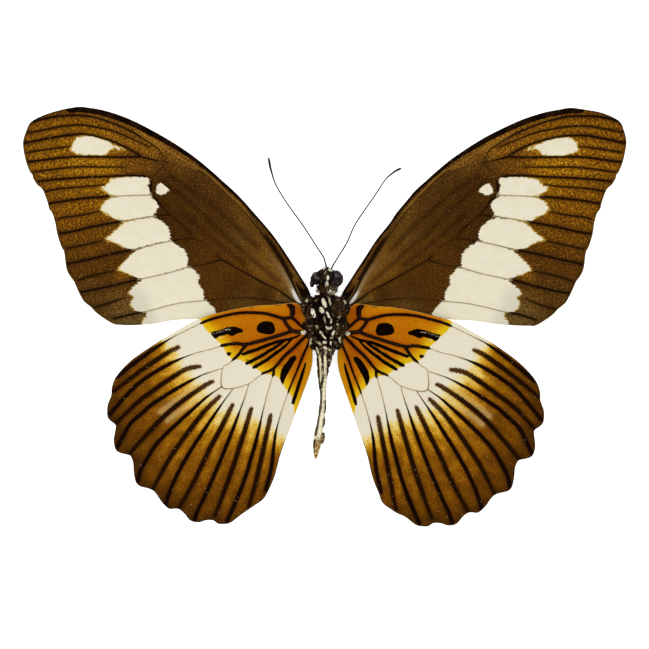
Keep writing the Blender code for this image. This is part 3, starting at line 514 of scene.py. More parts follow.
# Tufts of scales are (x, y, half length, half width, turn in degrees, paleness), and no hair
# grows over those at least as pale as this
BRIGHT_TUFT = 0.8
BODY_TUFTS = [
    (-0.12, 1.95, 0.76, 0.26, -70, 1.0), (0.70, 2.17, 0.67, 0.12, -78, 0.85),
    (-1.74, 0.45, 0.68, 0.29, -71, 1.0), (-0.48, 0.85, 0.51, 0.35, -60, 0.98),
    (0.43, 0.22, 0.55, 0.14, -67, 1.0), (0.93, -0.73, 0.33, 0.17, 85, 1.0),
    (-0.07, -0.47, 0.58, 0.14, -76, 0.7), (0.32, -1.75, 0.33, 0.18, -40, 0.95),
    (0.87, -1.75, 0.34, 0.18, 28, 0.95), (1.22, -2.48, 0.36, 0.20, 70, 0.95),
    (1.72, -2.48, 0.21, 0.12, -70, 0.65), (-0.63, -2.40, 0.24, 0.18, -40, 0.9),
    (-0.36, -2.88, 0.22, 0.17, -45, 0.9), (-0.05, -3.17, 0.22, 0.17, -45, 0.9),
    (1.0, -3.2, 0.22, 0.18, 30, 0.7), (0.03, -3.95, 0.32, 0.28, 0, 1.0),
    (0.84, -4.0, 0.27, 0.17, 90, 1.0), (-0.82, -4.03, 0.24, 0.15, -40, 0.85),
    (-1.32, -3.85, 0.18, 0.15, -60, 0.7), (0.0, -4.74, 0.26, 0.18, -30, 1.0),
    (0.69, -5.01, 0.21, 0.14, -35, 0.9), (1.65, -4.03, 0.22, 0.12, 50, 0.6),
    (2.22, -3.57, 0.49, 0.18, -80, 0.9), (-2.15, -3.75, 0.49, 0.18, 80, 0.85),
    (-1.23, -1.56, 0.28, 0.22, -30, 0.75), (-1.92, -1.44, 0.27, 0.22, 30, 0.65),
    (1.93, -1.74, 0.33, 0.18, 10, 0.65), (1.90, -1.22, 0.17, 0.14, 90, 0.8),
    (2.88, 2.12, 0.26, 0.13, -50, 0.95), (1.88, 2.28, 0.41, 0.15, 0, 0.7),
    (2.16, -0.12, 0.24, 0.17, 40, 0.75), (2.37, 0.21, 0.34, 0.18, 0, 0.5),
    (1.30, 1.20, 0.46, 0.22, -80, 0.5), (2.60, 1.14, 0.32, 0.15, -80, 0.5),
    (1.47, 0.51, 0.33, 0.30, 0, 0.4), (-2.12, -0.24, 0.17, 0.14, 0, 0.6),
    (-2.61, 0.39, 0.38, 0.30, -60, 0.42), (-3.06, 1.30, 0.21, 0.18, 0, 0.42),
    (1.44, -0.99, 0.48, 0.14, -88, 0.36), (0.21, -2.19, 0.32, 0.15, -60, 0.55),
    (-0.54, -4.65, 0.41, 0.33, 0, 0.42), (-1.08, -5.07, 0.53, 0.15, -75, 0.85),
    (0.09, -5.33, 0.32, 0.22, 80, 0.85), (0.84, -5.30, 0.38, 0.20, 70, 0.6),
    (-0.09, 7.07, 0.28, 0.16, 33, 1.0), (0.72, 6.84, 0.28, 0.21, -55, 1.0),
    (0.03, 6.35, 0.30, 0.14, 72, 0.62), (0.40, 5.65, 0.32, 0.23, 85, 1.0),
    (0.27, 4.74, 0.37, 0.23, 84, 1.0), (-0.40, 3.95, 0.45, 0.22, -70, 0.45),
    (0.80, 3.52, 0.55, 0.42, -30, 0.98), (1.38, 3.4, 0.4, 0.3, -40, 0.86),
    (-0.95, 3.38, 0.38, 0.15, 85, 0.82), (-1.17, 2.37, 0.33, 0.18, 35, 0.62),
    (2.13, 2.90, 0.30, 0.22, -80, 0.5), (-2.60, 2.32, 0.21, 0.17, 40, 0.85),
    (-3.15, -2.48, 0.34, 0.30, 0, 1.0), (3.38, -2.6, 0.34, 0.30, 0, 1.0),
]
# Paleness of the loose hair is (x, y, reach, value)
HAIR_SHADES = [
    (0.2, 0.0, 1.2, 0.02), (0.3, -3.0, 1.0, 0.03), (-1.2, 2.2, 0.8, 0.12), (1.8, 1.2, 0.8, 0.34),
    (-2.4, 0.4, 0.7, 0.36), (-1.5, -1.7, 0.7, 0.26), (2.1, -1.6, 0.7, 0.34), (-2.2, -3.2, 0.6, 0.3),
    (2.2, -3.2, 0.6, 0.34), (0.0, -5.2, 0.7, 0.42), (1.35, 1.9, 0.4, 0.32), (0.7, 3.8, 0.6, 0.62),
    (-0.5, 3.8, 0.5, 0.34), (-2.9, 1.6, 0.6, 0.28), (3.1, 1.6, 0.6, 0.32), (0.3, 5.6, 1.0, 0.1),
    (-0.9, -2.6, 0.6, 0.08),
]


def linear(code):
    """Linear colour with alpha from an sRGB hex code."""
    parts = [int(code[i:i + 2], 16) / 255 for i in (1, 3, 5)]
    return (*[c / 12.92 if c <= 0.04045 else ((c + 0.055) / 1.055) ** 2.4 for c in parts], 1.0)


# Curves and fields in the plane of the wing
def smooth_line(points, step):
    """Points about one step apart along a Catmull-Rom curve, ends included."""
    given = np.array(points, float)
    line = [given[0]]
    for index in range(len(given) - 1):
        before, start = given[max(index - 1, 0)], given[index]
        end, after = given[index + 1], given[min(index + 2, len(given) - 1)]
        pieces = max(1, round(float(np.linalg.norm(end - start)) / step))
        for number in range(1, pieces + 1):
            t = number / pieces
            line.append(0.5 * (2 * start + (end - before) * t
                               + (2 * before - 5 * start + 4 * end - after) * t ** 2
                               + (3 * start - before - 3 * end + after) * t ** 3))
    return np.array(line)


def segment_gaps(spots, line):
    """Distance from each spot to each segment of a line, and where along it, 0 to 1."""
    start, along = line[:-1], np.diff(line, axis=0)
    offset = spots[:, None, :] - start[None, :, :]
    length = np.maximum((along ** 2).sum(1), 1e-12)
    t = np.clip((offset * along[None]).sum(2) / length, 0, 1)
    gap = offset - t[:, :, None] * along[None]
    return np.sqrt((gap ** 2).sum(2)), t


def nearest_line(spots, lines):
    """Distance from each spot to the nearest line, and the share of its length there."""
    gap = np.full(len(spots), 99.0)
    share = np.zeros(len(spots))
    row = np.arange(len(spots))
    for points in lines:
        line = smooth_line(points, LINE_STEP)
        gaps, t = segment_gaps(spots, line)
        nearest = gaps.argmin(1)
        closer = gaps[row, nearest] < gap
        gap[closer] = gaps[row, nearest][closer]
        share[closer] = ((nearest + t[row, nearest]) / (len(line) - 1))[closer]
    return gap, share


def inside_ring(spots, ring):
    """True for each spot inside a closed ring of points."""
    within = np.zeros(len(spots), bool)
    x, y = spots[:, 0], spots[:, 1]
    for start, end in zip(ring, np.roll(ring, -1, axis=0)):
        rise = end[1] - start[1]
        if rise:
            edge = start[0] + (y - start[1]) * (end[0] - start[0]) / rise
            within ^= ((start[1] > y) != (end[1] > y)) & (x < edge)
    return within


def area_field(spots, rings, rank=1):
    """Distance to the edge of the nearest area, or the next nearest, positive inside it."""
    gaps = []
    for ring in rings:
        ring = np.array(ring, float)
        gap = segment_gaps(spots, np.vstack([ring, ring[:1]]))[0].min(1)
        gaps.append(np.where(inside_ring(spots, ring), gap, -gap))
    return np.sort(gaps, axis=0)[-rank]


def side_of_line(spots, points):
    """Signed distance to an open line, positive on its left."""
    line = np.array(points, float)
    gaps, _ = segment_gaps(spots, line)
    nearest = gaps.argmin(1)
    start, end = line[nearest], line[nearest + 1]
    turn = (end[:, 0] - start[:, 0]) * (spots[:, 1] - start[:, 1]) \
        - (end[:, 1] - start[:, 1]) * (spots[:, 0] - start[:, 0])
    return np.sign(turn) * gaps.min(1)


def dab_field(spots, dabs):
    """A smooth field that takes each dab's value near it."""
    total = np.full(len(spots), 1e-9)
    mixed = np.zeros(len(spots))
    for u, v, reach, value in dabs:
        away = ((spots[:, 0] - u) ** 2 + (spots[:, 1] - v) ** 2) / reach ** 2
        weight = np.exp(-np.minimum(away, 60)) + 1e-4 / (1 + away)
        total += weight
        mixed += weight * value
    return mixed / total


# The wings' plans, as triangles with the veins and stripes among their edges
def thinned(points, room):
    """The points that keep their distance from each other, first come first kept."""
    cells = {}
    kept = []
    for p in points:
        column, row = int(p[0] // room), int(p[1] // room)
        near = [q for i in (-1, 0, 1) for j in (-1, 0, 1)
                for q in cells.get((column + i, row + j), ())]
        if all((p[0] - q[0]) ** 2 + (p[1] - q[1]) ** 2 > room * room for q in near):
            cells.setdefault((column, row), []).append(p)
            kept.append((float(p[0]), float(p[1])))
    return kept


def sheet_plan(runs, lines):
    """Points, triangles and outline of a wing whose outline is made of the given runs."""
    edge = np.vstack([smooth_line(run, OUTLINE_STEP)[:-1] for run in runs])
    ahead = np.roll(edge, -1, axis=0) - np.roll(edge, 1, axis=0)
    outward = np.stack([-ahead[:, 1], ahead[:, 0]], 1) / np.linalg.norm(ahead, axis=1, keepdims=True)
    turned = inside_ring(edge + EDGE_PROBE * outward, edge)
    edge = edge + np.where(turned, -HEM, HEM)[:, None] * outward
    points = [tuple(p) for p in edge]
    pairs = [(i, (i + 1) % len(edge)) for i in range(len(edge))]
    sides = []
    for given in lines:
        line = smooth_line(given, LINE_STEP)
        first = len(points)
        points.extend(tuple(p) for p in line)
        pairs.extend((first + i, first + i + 1) for i in range(len(line) - 1))
        ahead = np.gradient(line, axis=0)
        across = np.stack([-ahead[:, 1], ahead[:, 0]], 1)
        across /= np.maximum(np.linalg.norm(across, axis=1, keepdims=True), 1e-9)
        for gap in GUARDS:
            sides.extend([line + gap * across, line - gap * across])
    low, high = edge.min(0), edge.max(0)
    grid = []
    for number, v in enumerate(np.arange(low[1], high[1], SHEET_STEP * 0.866)):
        start = low[0] + (number % 2) * SHEET_STEP / 2
        grid.extend((u, v) for u in np.arange(start, high[0], SHEET_STEP))
    for extra, room in ((np.vstack(sides), GUARDS[0] * 0.75), (np.array(grid), SHEET_STEP * 0.55)):
        tree = KDTree(len(points))
        for number, p in enumerate(points):
            tree.insert((p[0], p[1], 0), number)
        tree.balance()
        inside = extra[area_field(extra, [edge]) > room]
        points.extend(thinned([p for p in inside if tree.find((p[0], p[1], 0))[2] > room], room))
    plan = delaunay_2d_cdt([Vector(p) for p in points], pairs, [list(range(len(edge)))], 1, 0.02)
    return np.array([tuple(p) for p in plan[0]]), [tuple(f) for f in plan[2]], edge


# What the scales show on each kind of wing, as one number a point for every mark
def forewing_fields(spots, edge):
    vein_gap, _ = nearest_line(spots, FOREWING_VEINS)
    stripe_gap, share = nearest_line(spots, FOREWING_STRIPES)
    shade_gap, _ = nearest_line(spots, FOREWING_FOLD_SHADE)
    copper_gap, _ = nearest_line(spots, FOREWING_COPPER)
    front = smooth_line(FOREWING_OUTLINE[0][:FRONT_POINTS], OUTLINE_STEP)
    front_gap = segment_gaps(spots, front)[0].min(1)
    edge_gap = area_field(spots, [edge])
    cream = area_field(spots, FOREWING_CREAM)
    between = np.clip((area_field(spots, FOREWING_CREAM, 2) + 0.5) / 0.2, 0, 1)
    pale = np.maximum(between * np.clip((cream + 0.35) / 0.2, 0, 1), np.clip((cream - 0.1) / 0.15, 0, 1))
    vein_width = dab_field(spots, FOREWING_INK) * (1 - pale) + 0.08 * pale
    silver_gap, silver_share = nearest_line(spots, FOREWING_SILVER)
    # Painted shade: the brown is darkened in soft bands beside the veins, the stripes and the folds of
    # the cell; near the outline the same darkening makes a dark margin
    painted_shade_and_dark_margin = np.clip(vein_width * 2, 0, 0.34) * np.exp(-(vein_gap / 0.45) ** 2)
    painted_shade_and_dark_margin += 0.22 * np.exp(-(stripe_gap / 0.4) ** 2)
    painted_shade_and_dark_margin += 0.34 * np.exp(-(shade_gap / 0.42) ** 2) + 0.2 * np.exp(-(edge_gap / 0.5) ** 2)
    black = np.maximum(np.interp(spots[:, 0], COSTA_PLACES, COSTA_WIDTHS) - front_gap,
                       area_field(spots, FOREWING_WEDGE))
    return {
        "vein": vein_width - vein_gap,
        "vein_width": vein_width,
        "edge": edge_gap,
        "stripe": 0.15 * np.interp(share, (0, 0.1, 0.7, 1), (0.8, 1, 0.85, 0.35)) - stripe_gap,
        "copper": 0.09 - copper_gap,
        "cream": cream,
        "black": black,
        "tone": dab_field(spots, FOREWING_TONE) * (1 - painted_shade_and_dark_margin),
        "pale_vein": pale,
        "silver": np.interp(silver_share, (0, 0.12, 0.3, 0.6, 1), (1.5, 1.3, 0.62, 0.34, 0.1))
        * np.exp(-(silver_gap / np.interp(silver_share, (0, 1), (0.36, 0.6))) ** 2),
        "grey": dab_field(spots, FOREWING_GREY),
        "thin": dab_field(spots, FOREWING_THIN),
    }


def hindwing_fields(spots, edge):
    vein_gap, _ = nearest_line(spots, HINDWING_VEINS)
    stripe_gap, share = nearest_line(spots, HINDWING_STRIPES)
    ray_gap, ray_share = nearest_line(spots, HINDWING_RAYS)
    rub_gap, _ = nearest_line(spots, HINDWING_RUBS)
    streak_gap, _ = nearest_line(spots, HINDWING_STREAK)
    edge_gap = area_field(spots, [edge])
    orange = area_field(spots, HINDWING_ORANGE)
    fade = side_of_line(spots, HINDWING_FADE) / dab_field(spots, HINDWING_PACE)
    root = np.clip((orange + 0.3) / 0.3, 0, 1)
    brown_width = np.interp(fade, (-2.5, 0.0, 1.2, 3.0, 8.0), (0.055, 0.11, 0.22, 0.30, 0.31))
    vein_width = root * dab_field(spots, HINDWING_INK) + (1 - root) * brown_width
    tone = np.interp(fade, FADE_DISTANCES, FADE_TONES)
    # Painted shade: the brown is darkened in soft bands beside the veins and the stripes; near the
    # outline the same darkening makes a dark margin
    painted_shade_and_dark_margin = 0.12 * np.exp(-(vein_gap / 0.55) ** 2) + 0.12 * np.exp(-(stripe_gap / 0.55) ** 2)
    painted_shade_and_dark_margin += 0.11 * np.exp(-(edge_gap / 1.4) ** 2)
    tone -= painted_shade_and_dark_margin * np.clip(fade / 2, 0, 1)
    ray = 0.29 * np.interp(ray_share, (0, 0.3, 0.9, 1), (0.5, 0.9, 1, 0.8)) - ray_gap
    return {
        "vein": vein_width - vein_gap,
        "vein_width": vein_width,
        "edge": edge_gap,
        "stripe": 0.33 * np.interp(share, (0, 0.08, 0.7, 1), (0.75, 1, 0.95, 0.6)) - stripe_gap,
        "black": np.maximum(ray, area_field(spots, HINDWING_BLACK)),
        "streak": 0.09 - streak_gap,
        "orange": orange,
        "tone": tone,
        "red": dab_field(spots, HINDWING_RED) + 0.4 * np.exp(-(vein_gap / 0.5) ** 2),
        "rub": np.exp(-(rub_gap / 0.5) ** 2),
    }


def forewing_height(spots):
    along = ((spots[:, 0] - FOREWING_HINGE[0]) * FOREWING_AXIS[0]
             + (spots[:, 1] - FOREWING_HINGE[1]) * FOREWING_AXIS[1]) / FOREWING_REACH
    return WING_REST + FOREWING_RISE * (1 - np.clip(along, 0, 1)) ** 2


def hindwing_height(spots):
    away = np.hypot(spots[:, 0] - HINDWING_HINGE[0], spots[:, 1] - HINDWING_HINGE[1])
    return WING_REST + HINDWING_RISE * (1 - np.minimum(away / HINDWING_REACH, 1)) ** 1.2


def relief(fields):
    """Low waves of the membrane: up along the veins, down along the folds between."""
    vein_gap = fields["vein_width"] - fields["vein"]
    fold_gap = np.maximum(0.1 - fields["stripe"], 0)
    return 0.10 * np.exp(-(vein_gap / 0.9) ** 2) - 0.05 * np.exp(-(fold_gap / 0.8) ** 2)


def wing_thickness(fields):
    """The membrane thins at the margin, and the hollow veins stand out on both faces."""
    vein_gap = fields["vein_width"] - fields["vein"]
    tube = np.sqrt(np.clip(1 - (vein_gap / 0.16) ** 2, 0, 1)) * np.clip(fields["edge"] / 0.6, 0, 1)
    membrane = MEMBRANE * np.clip(0.3 + fields["edge"] / 0.25, 0.3, 1)
    return membrane + (THICKEST - MEMBRANE) * tube


def left_place(spots):
    return np.stack([-spots[:, 0], spots[:, 1]], 1)


def pulled(spots, pulls):
    """The spots moved by a smooth field; each pull is (outboard, forward, reach, and the move)."""
    outboard = dab_field(spots, [(u, v, reach, move) for u, v, reach, move, _ in pulls])
    forward = dab_field(spots, [(u, v, reach, move) for u, v, reach, _, move in pulls])
    return spots + np.stack([outboard, forward], 1)


def right_forewing_place(spots):
    return pulled(spots, RIGHT_FOREWING_PULLS) + np.array([RIGHT_FOREWING_SHIFT, 0.0])


def right_hindwing_place(spots):
    u, v = (pulled(spots, RIGHT_HINDWING_PULLS) - np.array(HINDWING_HINGE)).T
    cosine, sine = math.cos(RIGHT_HINDWING_TURN), math.sin(RIGHT_HINDWING_TURN)
    return np.stack([HINDWING_HINGE[0] + RIGHT_HINDWING_SHIFT[0] + u * cosine + v * sine,
                     HINDWING_HINGE[1] + RIGHT_HINDWING_SHIFT[1] - u * sine + v * cosine], 1)


def only(piece):
    """Select one piece and make it the active one."""
    bpy.ops.object.select_all(action="DESELECT")
    piece.select_set(True)
    bpy.context.view_layer.objects.active = piece


def new_piece(name, points, faces, finishes, fields=None):
    """A mesh piece from points in millimetres, with named numbers on its points."""
    mesh = bpy.data.meshes.new(name)
    mesh.from_pydata(np.asarray(points) * MM, [], faces)
    for finish in finishes:
        mesh.materials.append(finish)
    for field, values in (fields or {}).items():
        layer = mesh.attributes.new(field, "FLOAT", "POINT")
        layer.data.foreach_set("value", np.asarray(values, np.float32))
    mesh.shade_smooth()
    piece = bpy.data.objects.new(name, mesh)
    bpy.context.scene.collection.objects.link(piece)
    return piece


def keep(piece, slot, *nodes):
    """Let a piece ride on the specimen and hide the nodes that it stands for; slot is not used."""
    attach(piece, "root")
    if nodes:
        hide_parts(*nodes)


def make_wing(name, plan, fields, heights, place, hinge, row_shift, finishes):
    """A sheet over the plan, given its thickness, with the fields kept on its points."""
    spots, faces, _ = plan
    flat = place(spots)
    thickness = wing_thickness(fields)
    middle = np.maximum(heights + relief(fields), thickness / 2 + 0.01)
    first = flat[list(faces[0])]
    if np.cross(first[1] - first[0], first[2] - first[0]) < 0:
        faces = [f[::-1] for f in faces]
    wing = new_piece(name, np.column_stack([flat, middle]), faces, finishes, fields)
    mesh = wing.data
    corners = np.zeros(len(mesh.loops), int)
    mesh.loops.foreach_get("vertex_index", corners)
    u, v = spots[:, 0] - hinge[0], spots[:, 1] - hinge[1]
    rows = np.stack([np.arctan2(v, u) * ROW_RADIUS + row_shift, np.hypot(u, v)], 1)
    layer = mesh.uv_layers.new(name="scale rows")
    layer.data.foreach_set("uv", rows[corners].astype(np.float32).ravel())
    group = wing.vertex_groups.new(name="thickness")
    for number, share in enumerate(thickness / THICKEST):
        group.add([number], float(share), "REPLACE")
    only(wing)
    bpy.ops.object.modifier_add(type="SOLIDIFY")
    solidify = wing.modifiers[0]
    solidify.thickness = THICKEST * MM
    solidify.offset = 0
    solidify.vertex_group = group.name
    solidify.material_offset = 1
    solidify.material_offset_rim = 1
    bpy.ops.object.modifier_apply(modifier=solidify.name)
    bpy.ops.object.shade_smooth_by_angle(angle=math.radians(50))
    return wing


# Materials
def new_material(name, roughness, specular):
    material = bpy.data.materials.new(name)
    material.use_nodes = True
    shader = material.node_tree.nodes["Principled BSDF"]
    shader.inputs["Roughness"].default_value = roughness
    shader.inputs["Specular IOR Level"].default_value = specular
    return material, material.node_tree, shader


def add(tree, kind, links=None, out=0, stops=(), **settings):
    """One node with its settings, links and colour stops; the chosen output comes back."""
    node = tree.nodes.new(kind)
    for setting, value in settings.items():
        setattr(node, setting, value)
    for socket, source in (links or {}).items():
        if isinstance(source, bpy.types.NodeSocket):
            tree.links.new(source, node.inputs[socket])
        else:
            node.inputs[socket].default_value = linear(source) if isinstance(source, str) else source
    for number, (place, code) in enumerate(stops):
        if number > 1:
            node.color_ramp.elements.new(1.0)
        node.color_ramp.elements[number].position = place
        node.color_ramp.elements[number].color = linear(code)
    return node.outputs[out]


def lay(tree, under, colour, value, low, high, most=1.0):
    """Scales of one colour over another, where the value passes from low to high."""
    where = add(tree, "ShaderNodeMapRange", {0: value, 1: low, 2: high, 4: most},
                interpolation_type="SMOOTHSTEP")
    return add(tree, "ShaderNodeMix", {0: where, 6: under, 7: colour}, 2, data_type="RGBA")


def rows_of_scales(tree, across, along, detail):
    """A grain with the given millimetres across and along the rows of scales, 0 to 1."""
    rows = add(tree, "ShaderNodeUVMap", uv_map="scale rows")
    place = add(tree, "ShaderNodeMapping", {"Vector": rows, "Scale": (1 / across, 1 / along, 1)})
    return add(tree, "ShaderNodeTexNoise", {"Vector": place, "Scale": 1.0, "Detail": detail})


def scattered_scales(tree, size, share):
    """1 on a few scattered scales that have turned, 0 elsewhere."""
    rows = add(tree, "ShaderNodeUVMap", uv_map="scale rows")
    place = add(tree, "ShaderNodeMapping", {"Vector": rows, "Scale": (1 / size, 0.7 / size, 1)})
    colour = add(tree, "ShaderNodeTexVoronoi", {"Vector": place, "Scale": 1.0}, "Color")
    distance = add(tree, "ShaderNodeTexVoronoi", {"Vector": place, "Scale": 1.0}, "Distance")
    number = add(tree, "ShaderNodeSeparateColor", {0: colour})
    chosen = add(tree, "ShaderNodeMath", {0: number, 1: share}, operation="LESS_THAN")
    near = add(tree, "ShaderNodeMapRange", {0: distance, 1: 0.42, 2: 0.12},
               interpolation_type="SMOOTHSTEP")
    return add(tree, "ShaderNodeMath", {0: chosen, 1: near}, operation="MULTIPLY")


def frayed(tree, field, noise, amount):
    """A field whose edges are frayed by the noise, about half the amount each way."""
    value = add(tree, "ShaderNodeAttribute", out="Fac", attribute_name=field)
    rough = add(tree, "ShaderNodeMath", {0: noise, 1: 0.5}, operation="SUBTRACT")
    return add(tree, "ShaderNodeMath", {0: rough, 1: amount, 2: value}, operation="MULTIPLY_ADD")


def uneven(tree, shader, colour, height, depth, strength=0.5):
    """The colour on the shader, over bumps of the given depth in millimetres."""
    bump = add(tree, "ShaderNodeBump", {"Height": height, "Strength": strength, "Distance": depth * MM})
    tree.links.new(colour, shader.inputs["Base Color"])
    tree.links.new(bump, shader.inputs["Normal"])


def powdery(tree, shader, colour, fine):
    """The colour on the shader, with an uneven, powdery surface."""
    rough = add(tree, "ShaderNodeMapRange", {0: fine, 3: 0.7, 4: 0.95})
    tree.links.new(rough, shader.inputs["Roughness"])
    uneven(tree, shader, colour, fine, 0.04, 0.3)


def forewing_underside():
    # Chitin membrane under dried, overlapping scales: a matt powder, grainy in the brown
    material, tree, shader = new_material("forewing scales, underside", 0.8, 0.02)
    fine = rows_of_scales(tree, 0.20, 0.28, 2.0)
    coarse = rows_of_scales(tree, 0.9, 1.8, 3.0)
    streak = rows_of_scales(tree, 0.22, 0.9, 3.0)
    tone = frayed(tree, "tone", coarse, 0.2)
    grains = add(tree, "ShaderNodeMath", {0: fine, 1: 2.4, 2: -0.2}, operation="MULTIPLY_ADD")
    tone = add(tree, "ShaderNodeMath", {0: tone, 1: grains}, operation="MULTIPLY")
    ground = add(tree, "ShaderNodeValToRGB", {0: tone}, stops=[
        (0.0, "#0a0300"), (0.15, "#2a1402"), (0.3, "#3f2406"), (0.42, "#4f2f08"),
        (0.52, "#633b08"), (0.62, "#774a07"), (0.7, "#855607"), (0.82, "#9c6c0c"),
        (1.0, "#c08e1e")])
    greyed = add(tree, "ShaderNodeValToRGB", {0: tone}, stops=[
        (0.0, "#120e06"), (0.3, "#463a18"), (0.5, "#6e5f32"), (0.7, "#9c8a62"), (1.0, "#cdc8bb")])
    grey = add(tree, "ShaderNodeAttribute", out="Fac", attribute_name="grey")
    ground = lay(tree, ground, greyed, grey, 0.0, 1.0, 0.9)
    ground = lay(tree, ground, "#8a6224", frayed(tree, "copper", streak, 0.1), -0.05, 0.05, 0.7)
    ground = lay(tree, ground, "#1e0d02", frayed(tree, "stripe", fine, 0.24), -0.11, 0.06, 0.92)
    silver = frayed(tree, "silver", fine, 0.5)
    bare = lay(tree, "#a08a62", "#dedad0", silver, 0.45, 1.0)
    ground = lay(tree, ground, bare, silver, 0.0, 0.9, 0.95)
    band = add(tree, "ShaderNodeValToRGB", {0: coarse}, stops=[(0.4, "#0a0300"), (0.75, "#281508")])
    ground = lay(tree, ground, "#200e03", frayed(tree, "edge", fine, 0.2), 0.20, 0.06)
    cream = add(tree, "ShaderNodeValToRGB", {0: coarse}, stops=[(0.3, "#e2dbc6"), (0.75, "#dcd4b6")])
    thin = add(tree, "ShaderNodeAttribute", out="Fac", attribute_name="thin")
    cream = lay(tree, cream, "#ccc6b2", thin, 0.0, 1.0)
    window = frayed(tree, "cream", streak, 0.9)
    golden = add(tree, "ShaderNodeAttribute", out="Fac", attribute_name="tone")
    golden = add(tree, "ShaderNodeMapRange", {0: golden, 1: 0.34, 2: 0.46, 4: 0.85})
    rim = lay(tree, ground, "#bd9a3e", golden, 0.0, 1.0, 0.85)
    ground = lay(tree, ground, rim, window, -0.18, 0.0)
    ground = lay(tree, ground, cream, window, 0.0, 0.16)
    hem = frayed(tree, "edge", fine, 0.1)
    ground = lay(tree, ground, "#94804a", hem, 0.12, 0.02, 0.7)
    ground = lay(tree, ground, band, frayed(tree, "black", streak, 0.12), -0.06, 0.06)
    pale = add(tree, "ShaderNodeAttribute", out="Fac", attribute_name="pale_vein")
    ink = lay(tree, "#150802", "#968a64", pale, 0.2, 0.8)
    ground = lay(tree, ground, ink, frayed(tree, "vein", streak, 0.12), -0.08, 0.06, 0.95)
    ground = lay(tree, ground, "#a08a58", scattered_scales(tree, 0.2, 0.02), 0.0, 1.0, 0.5)
    powdery(tree, shader, ground, fine)
    return material


def hindwing_underside():
    # Dried scales again: orange with black marks at the root, cream, then striped brown
    material, tree, shader = new_material("hindwing scales, underside", 0.8, 0.02)
    fine = rows_of_scales(tree, 0.20, 0.28, 2.0)
    coarse = rows_of_scales(tree, 0.9, 1.8, 3.0)
    streak = rows_of_scales(tree, 0.22, 0.9, 3.0)
    tone = frayed(tree, "tone", fine, 0.36)
    rough = add(tree, "ShaderNodeMath", {0: coarse, 1: 0.3, 2: -0.15}, operation="MULTIPLY_ADD")
    tone = add(tree, "ShaderNodeMath", {0: tone, 1: rough}, operation="ADD")
    clouds = rows_of_scales(tree, 2.2, 4.5, 2.0)
    tone = add(tree, "ShaderNodeMath", {0: clouds, 1: 0.22, 2: tone}, operation="MULTIPLY_ADD")
    tone = add(tree, "ShaderNodeMath", {0: tone, 1: 0.11}, operation="SUBTRACT")
    ground = add(tree, "ShaderNodeValToRGB", {0: tone}, stops=[
        (0.1, "#251203"), (0.3, "#442603"), (0.42, "#5a3303"), (0.5, "#6e4004"),
        (0.58, "#845208"), (0.66, "#a06a0a"), (0.72, "#ba861a"), (0.78, "#d0a43c"),
        (0.85, "#dec266"), (0.92, "#dfd09a"), (1.0, "#ded6bf")])
    rub = frayed(tree, "rub", fine, 0.4)
    ground = lay(tree, ground, "#cbae6c", rub, 0.0, 1.2, 0.5)
    pale = add(tree, "ShaderNodeAttribute", out="Fac", attribute_name="tone")
    stripe = frayed(tree, "stripe", fine, 0.55)
    dust = lay(tree, "#2a1402", "#7a5216", pale, 0.62, 0.95)
    ground = lay(tree, ground, dust, stripe, -0.22, 0.04, 0.8)
    stripe_ink = lay(tree, "#1c0a01", "#402408", pale, 0.66, 0.98)
    ground = lay(tree, ground, stripe_ink, stripe, -0.05, 0.06, 0.97)
    fiery = frayed(tree, "orange", streak, 0.7)
    heat = frayed(tree, "red", fine, 0.9)
    orange = add(tree, "ShaderNodeValToRGB", {0: heat}, stops=[
        (0.0, "#ce9404"), (0.3, "#bc7203"), (0.65, "#a95a02"), (1.0, "#8f3a02")])
    orange = lay(tree, orange, "#7a3a02", streak, 0.50, 0.78, 0.8)
    orange = lay(tree, "#dab010", orange, fiery, 0.1, 2.0)
    ground = lay(tree, ground, orange, fiery, -0.04, 0.08)
    ground = lay(tree, ground, "#0a0300", frayed(tree, "black", streak, 0.26), -0.05, 0.05)
    vein = frayed(tree, "vein", streak, 0.14)
    vein_width = add(tree, "ShaderNodeAttribute", out="Fac", attribute_name="vein_width")
    ink = lay(tree, "#8f7f50", "#140602", vein_width, 0.065, 0.115)
    ground = lay(tree, ground, ink, vein, -0.07, 0.06)
    # Painted highlight: a lighter, greyer line along the middle of the wide veins on the orange, where
    # their ridges catch the light
    vein_ridge_highlight = add(tree, "ShaderNodeMath", {0: vein, 1: fiery}, operation="MINIMUM")
    ground = lay(tree, ground, "#43362c", vein_ridge_highlight, 0.20, 0.28, 0.5)
    ground = lay(tree, ground, "#c8bc9c", frayed(tree, "streak", fine, 0.6), -0.02, 0.1, 0.85)
    edge = frayed(tree, "edge", fine, 0.2)
    ground = lay(tree, ground, "#b0904a", edge, 0.12, 0.02, 0.7)
    dark_edge = lay(tree, ground, "#1c0d02", pale, 0.96, 0.8)
    ground = lay(tree, ground, dark_edge, edge, 0.18, 0.04)
    ground = lay(tree, ground, "#c0a468", scattered_scales(tree, 0.2, 0.02), 0.0, 1.0, 0.5)
    powdery(tree, shader, ground, fine)
    return material


def upperside(name, stops, mark, frays, colour):
    """The hidden face: velvety dark scales, one kind of mark and black-brown veins."""
    material, tree, shader = new_material(name, 0.85, 0.02)
    fine = rows_of_scales(tree, 0.20, 0.28, 2.0)
    streak = rows_of_scales(tree, 0.22, 0.9, 3.0)
    ground = add(tree, "ShaderNodeValToRGB", {0: frayed(tree, "tone", fine, 0.3)}, stops=stops)
    ground = lay(tree, ground, colour, frayed(tree, mark, streak, frays), -0.05, 0.1)
    ground = lay(tree, ground, "#1a0f06", frayed(tree, "vein", streak, 0.1), -0.05, 0.05, 0.7)
    powdery(tree, shader, ground, fine)
    return material


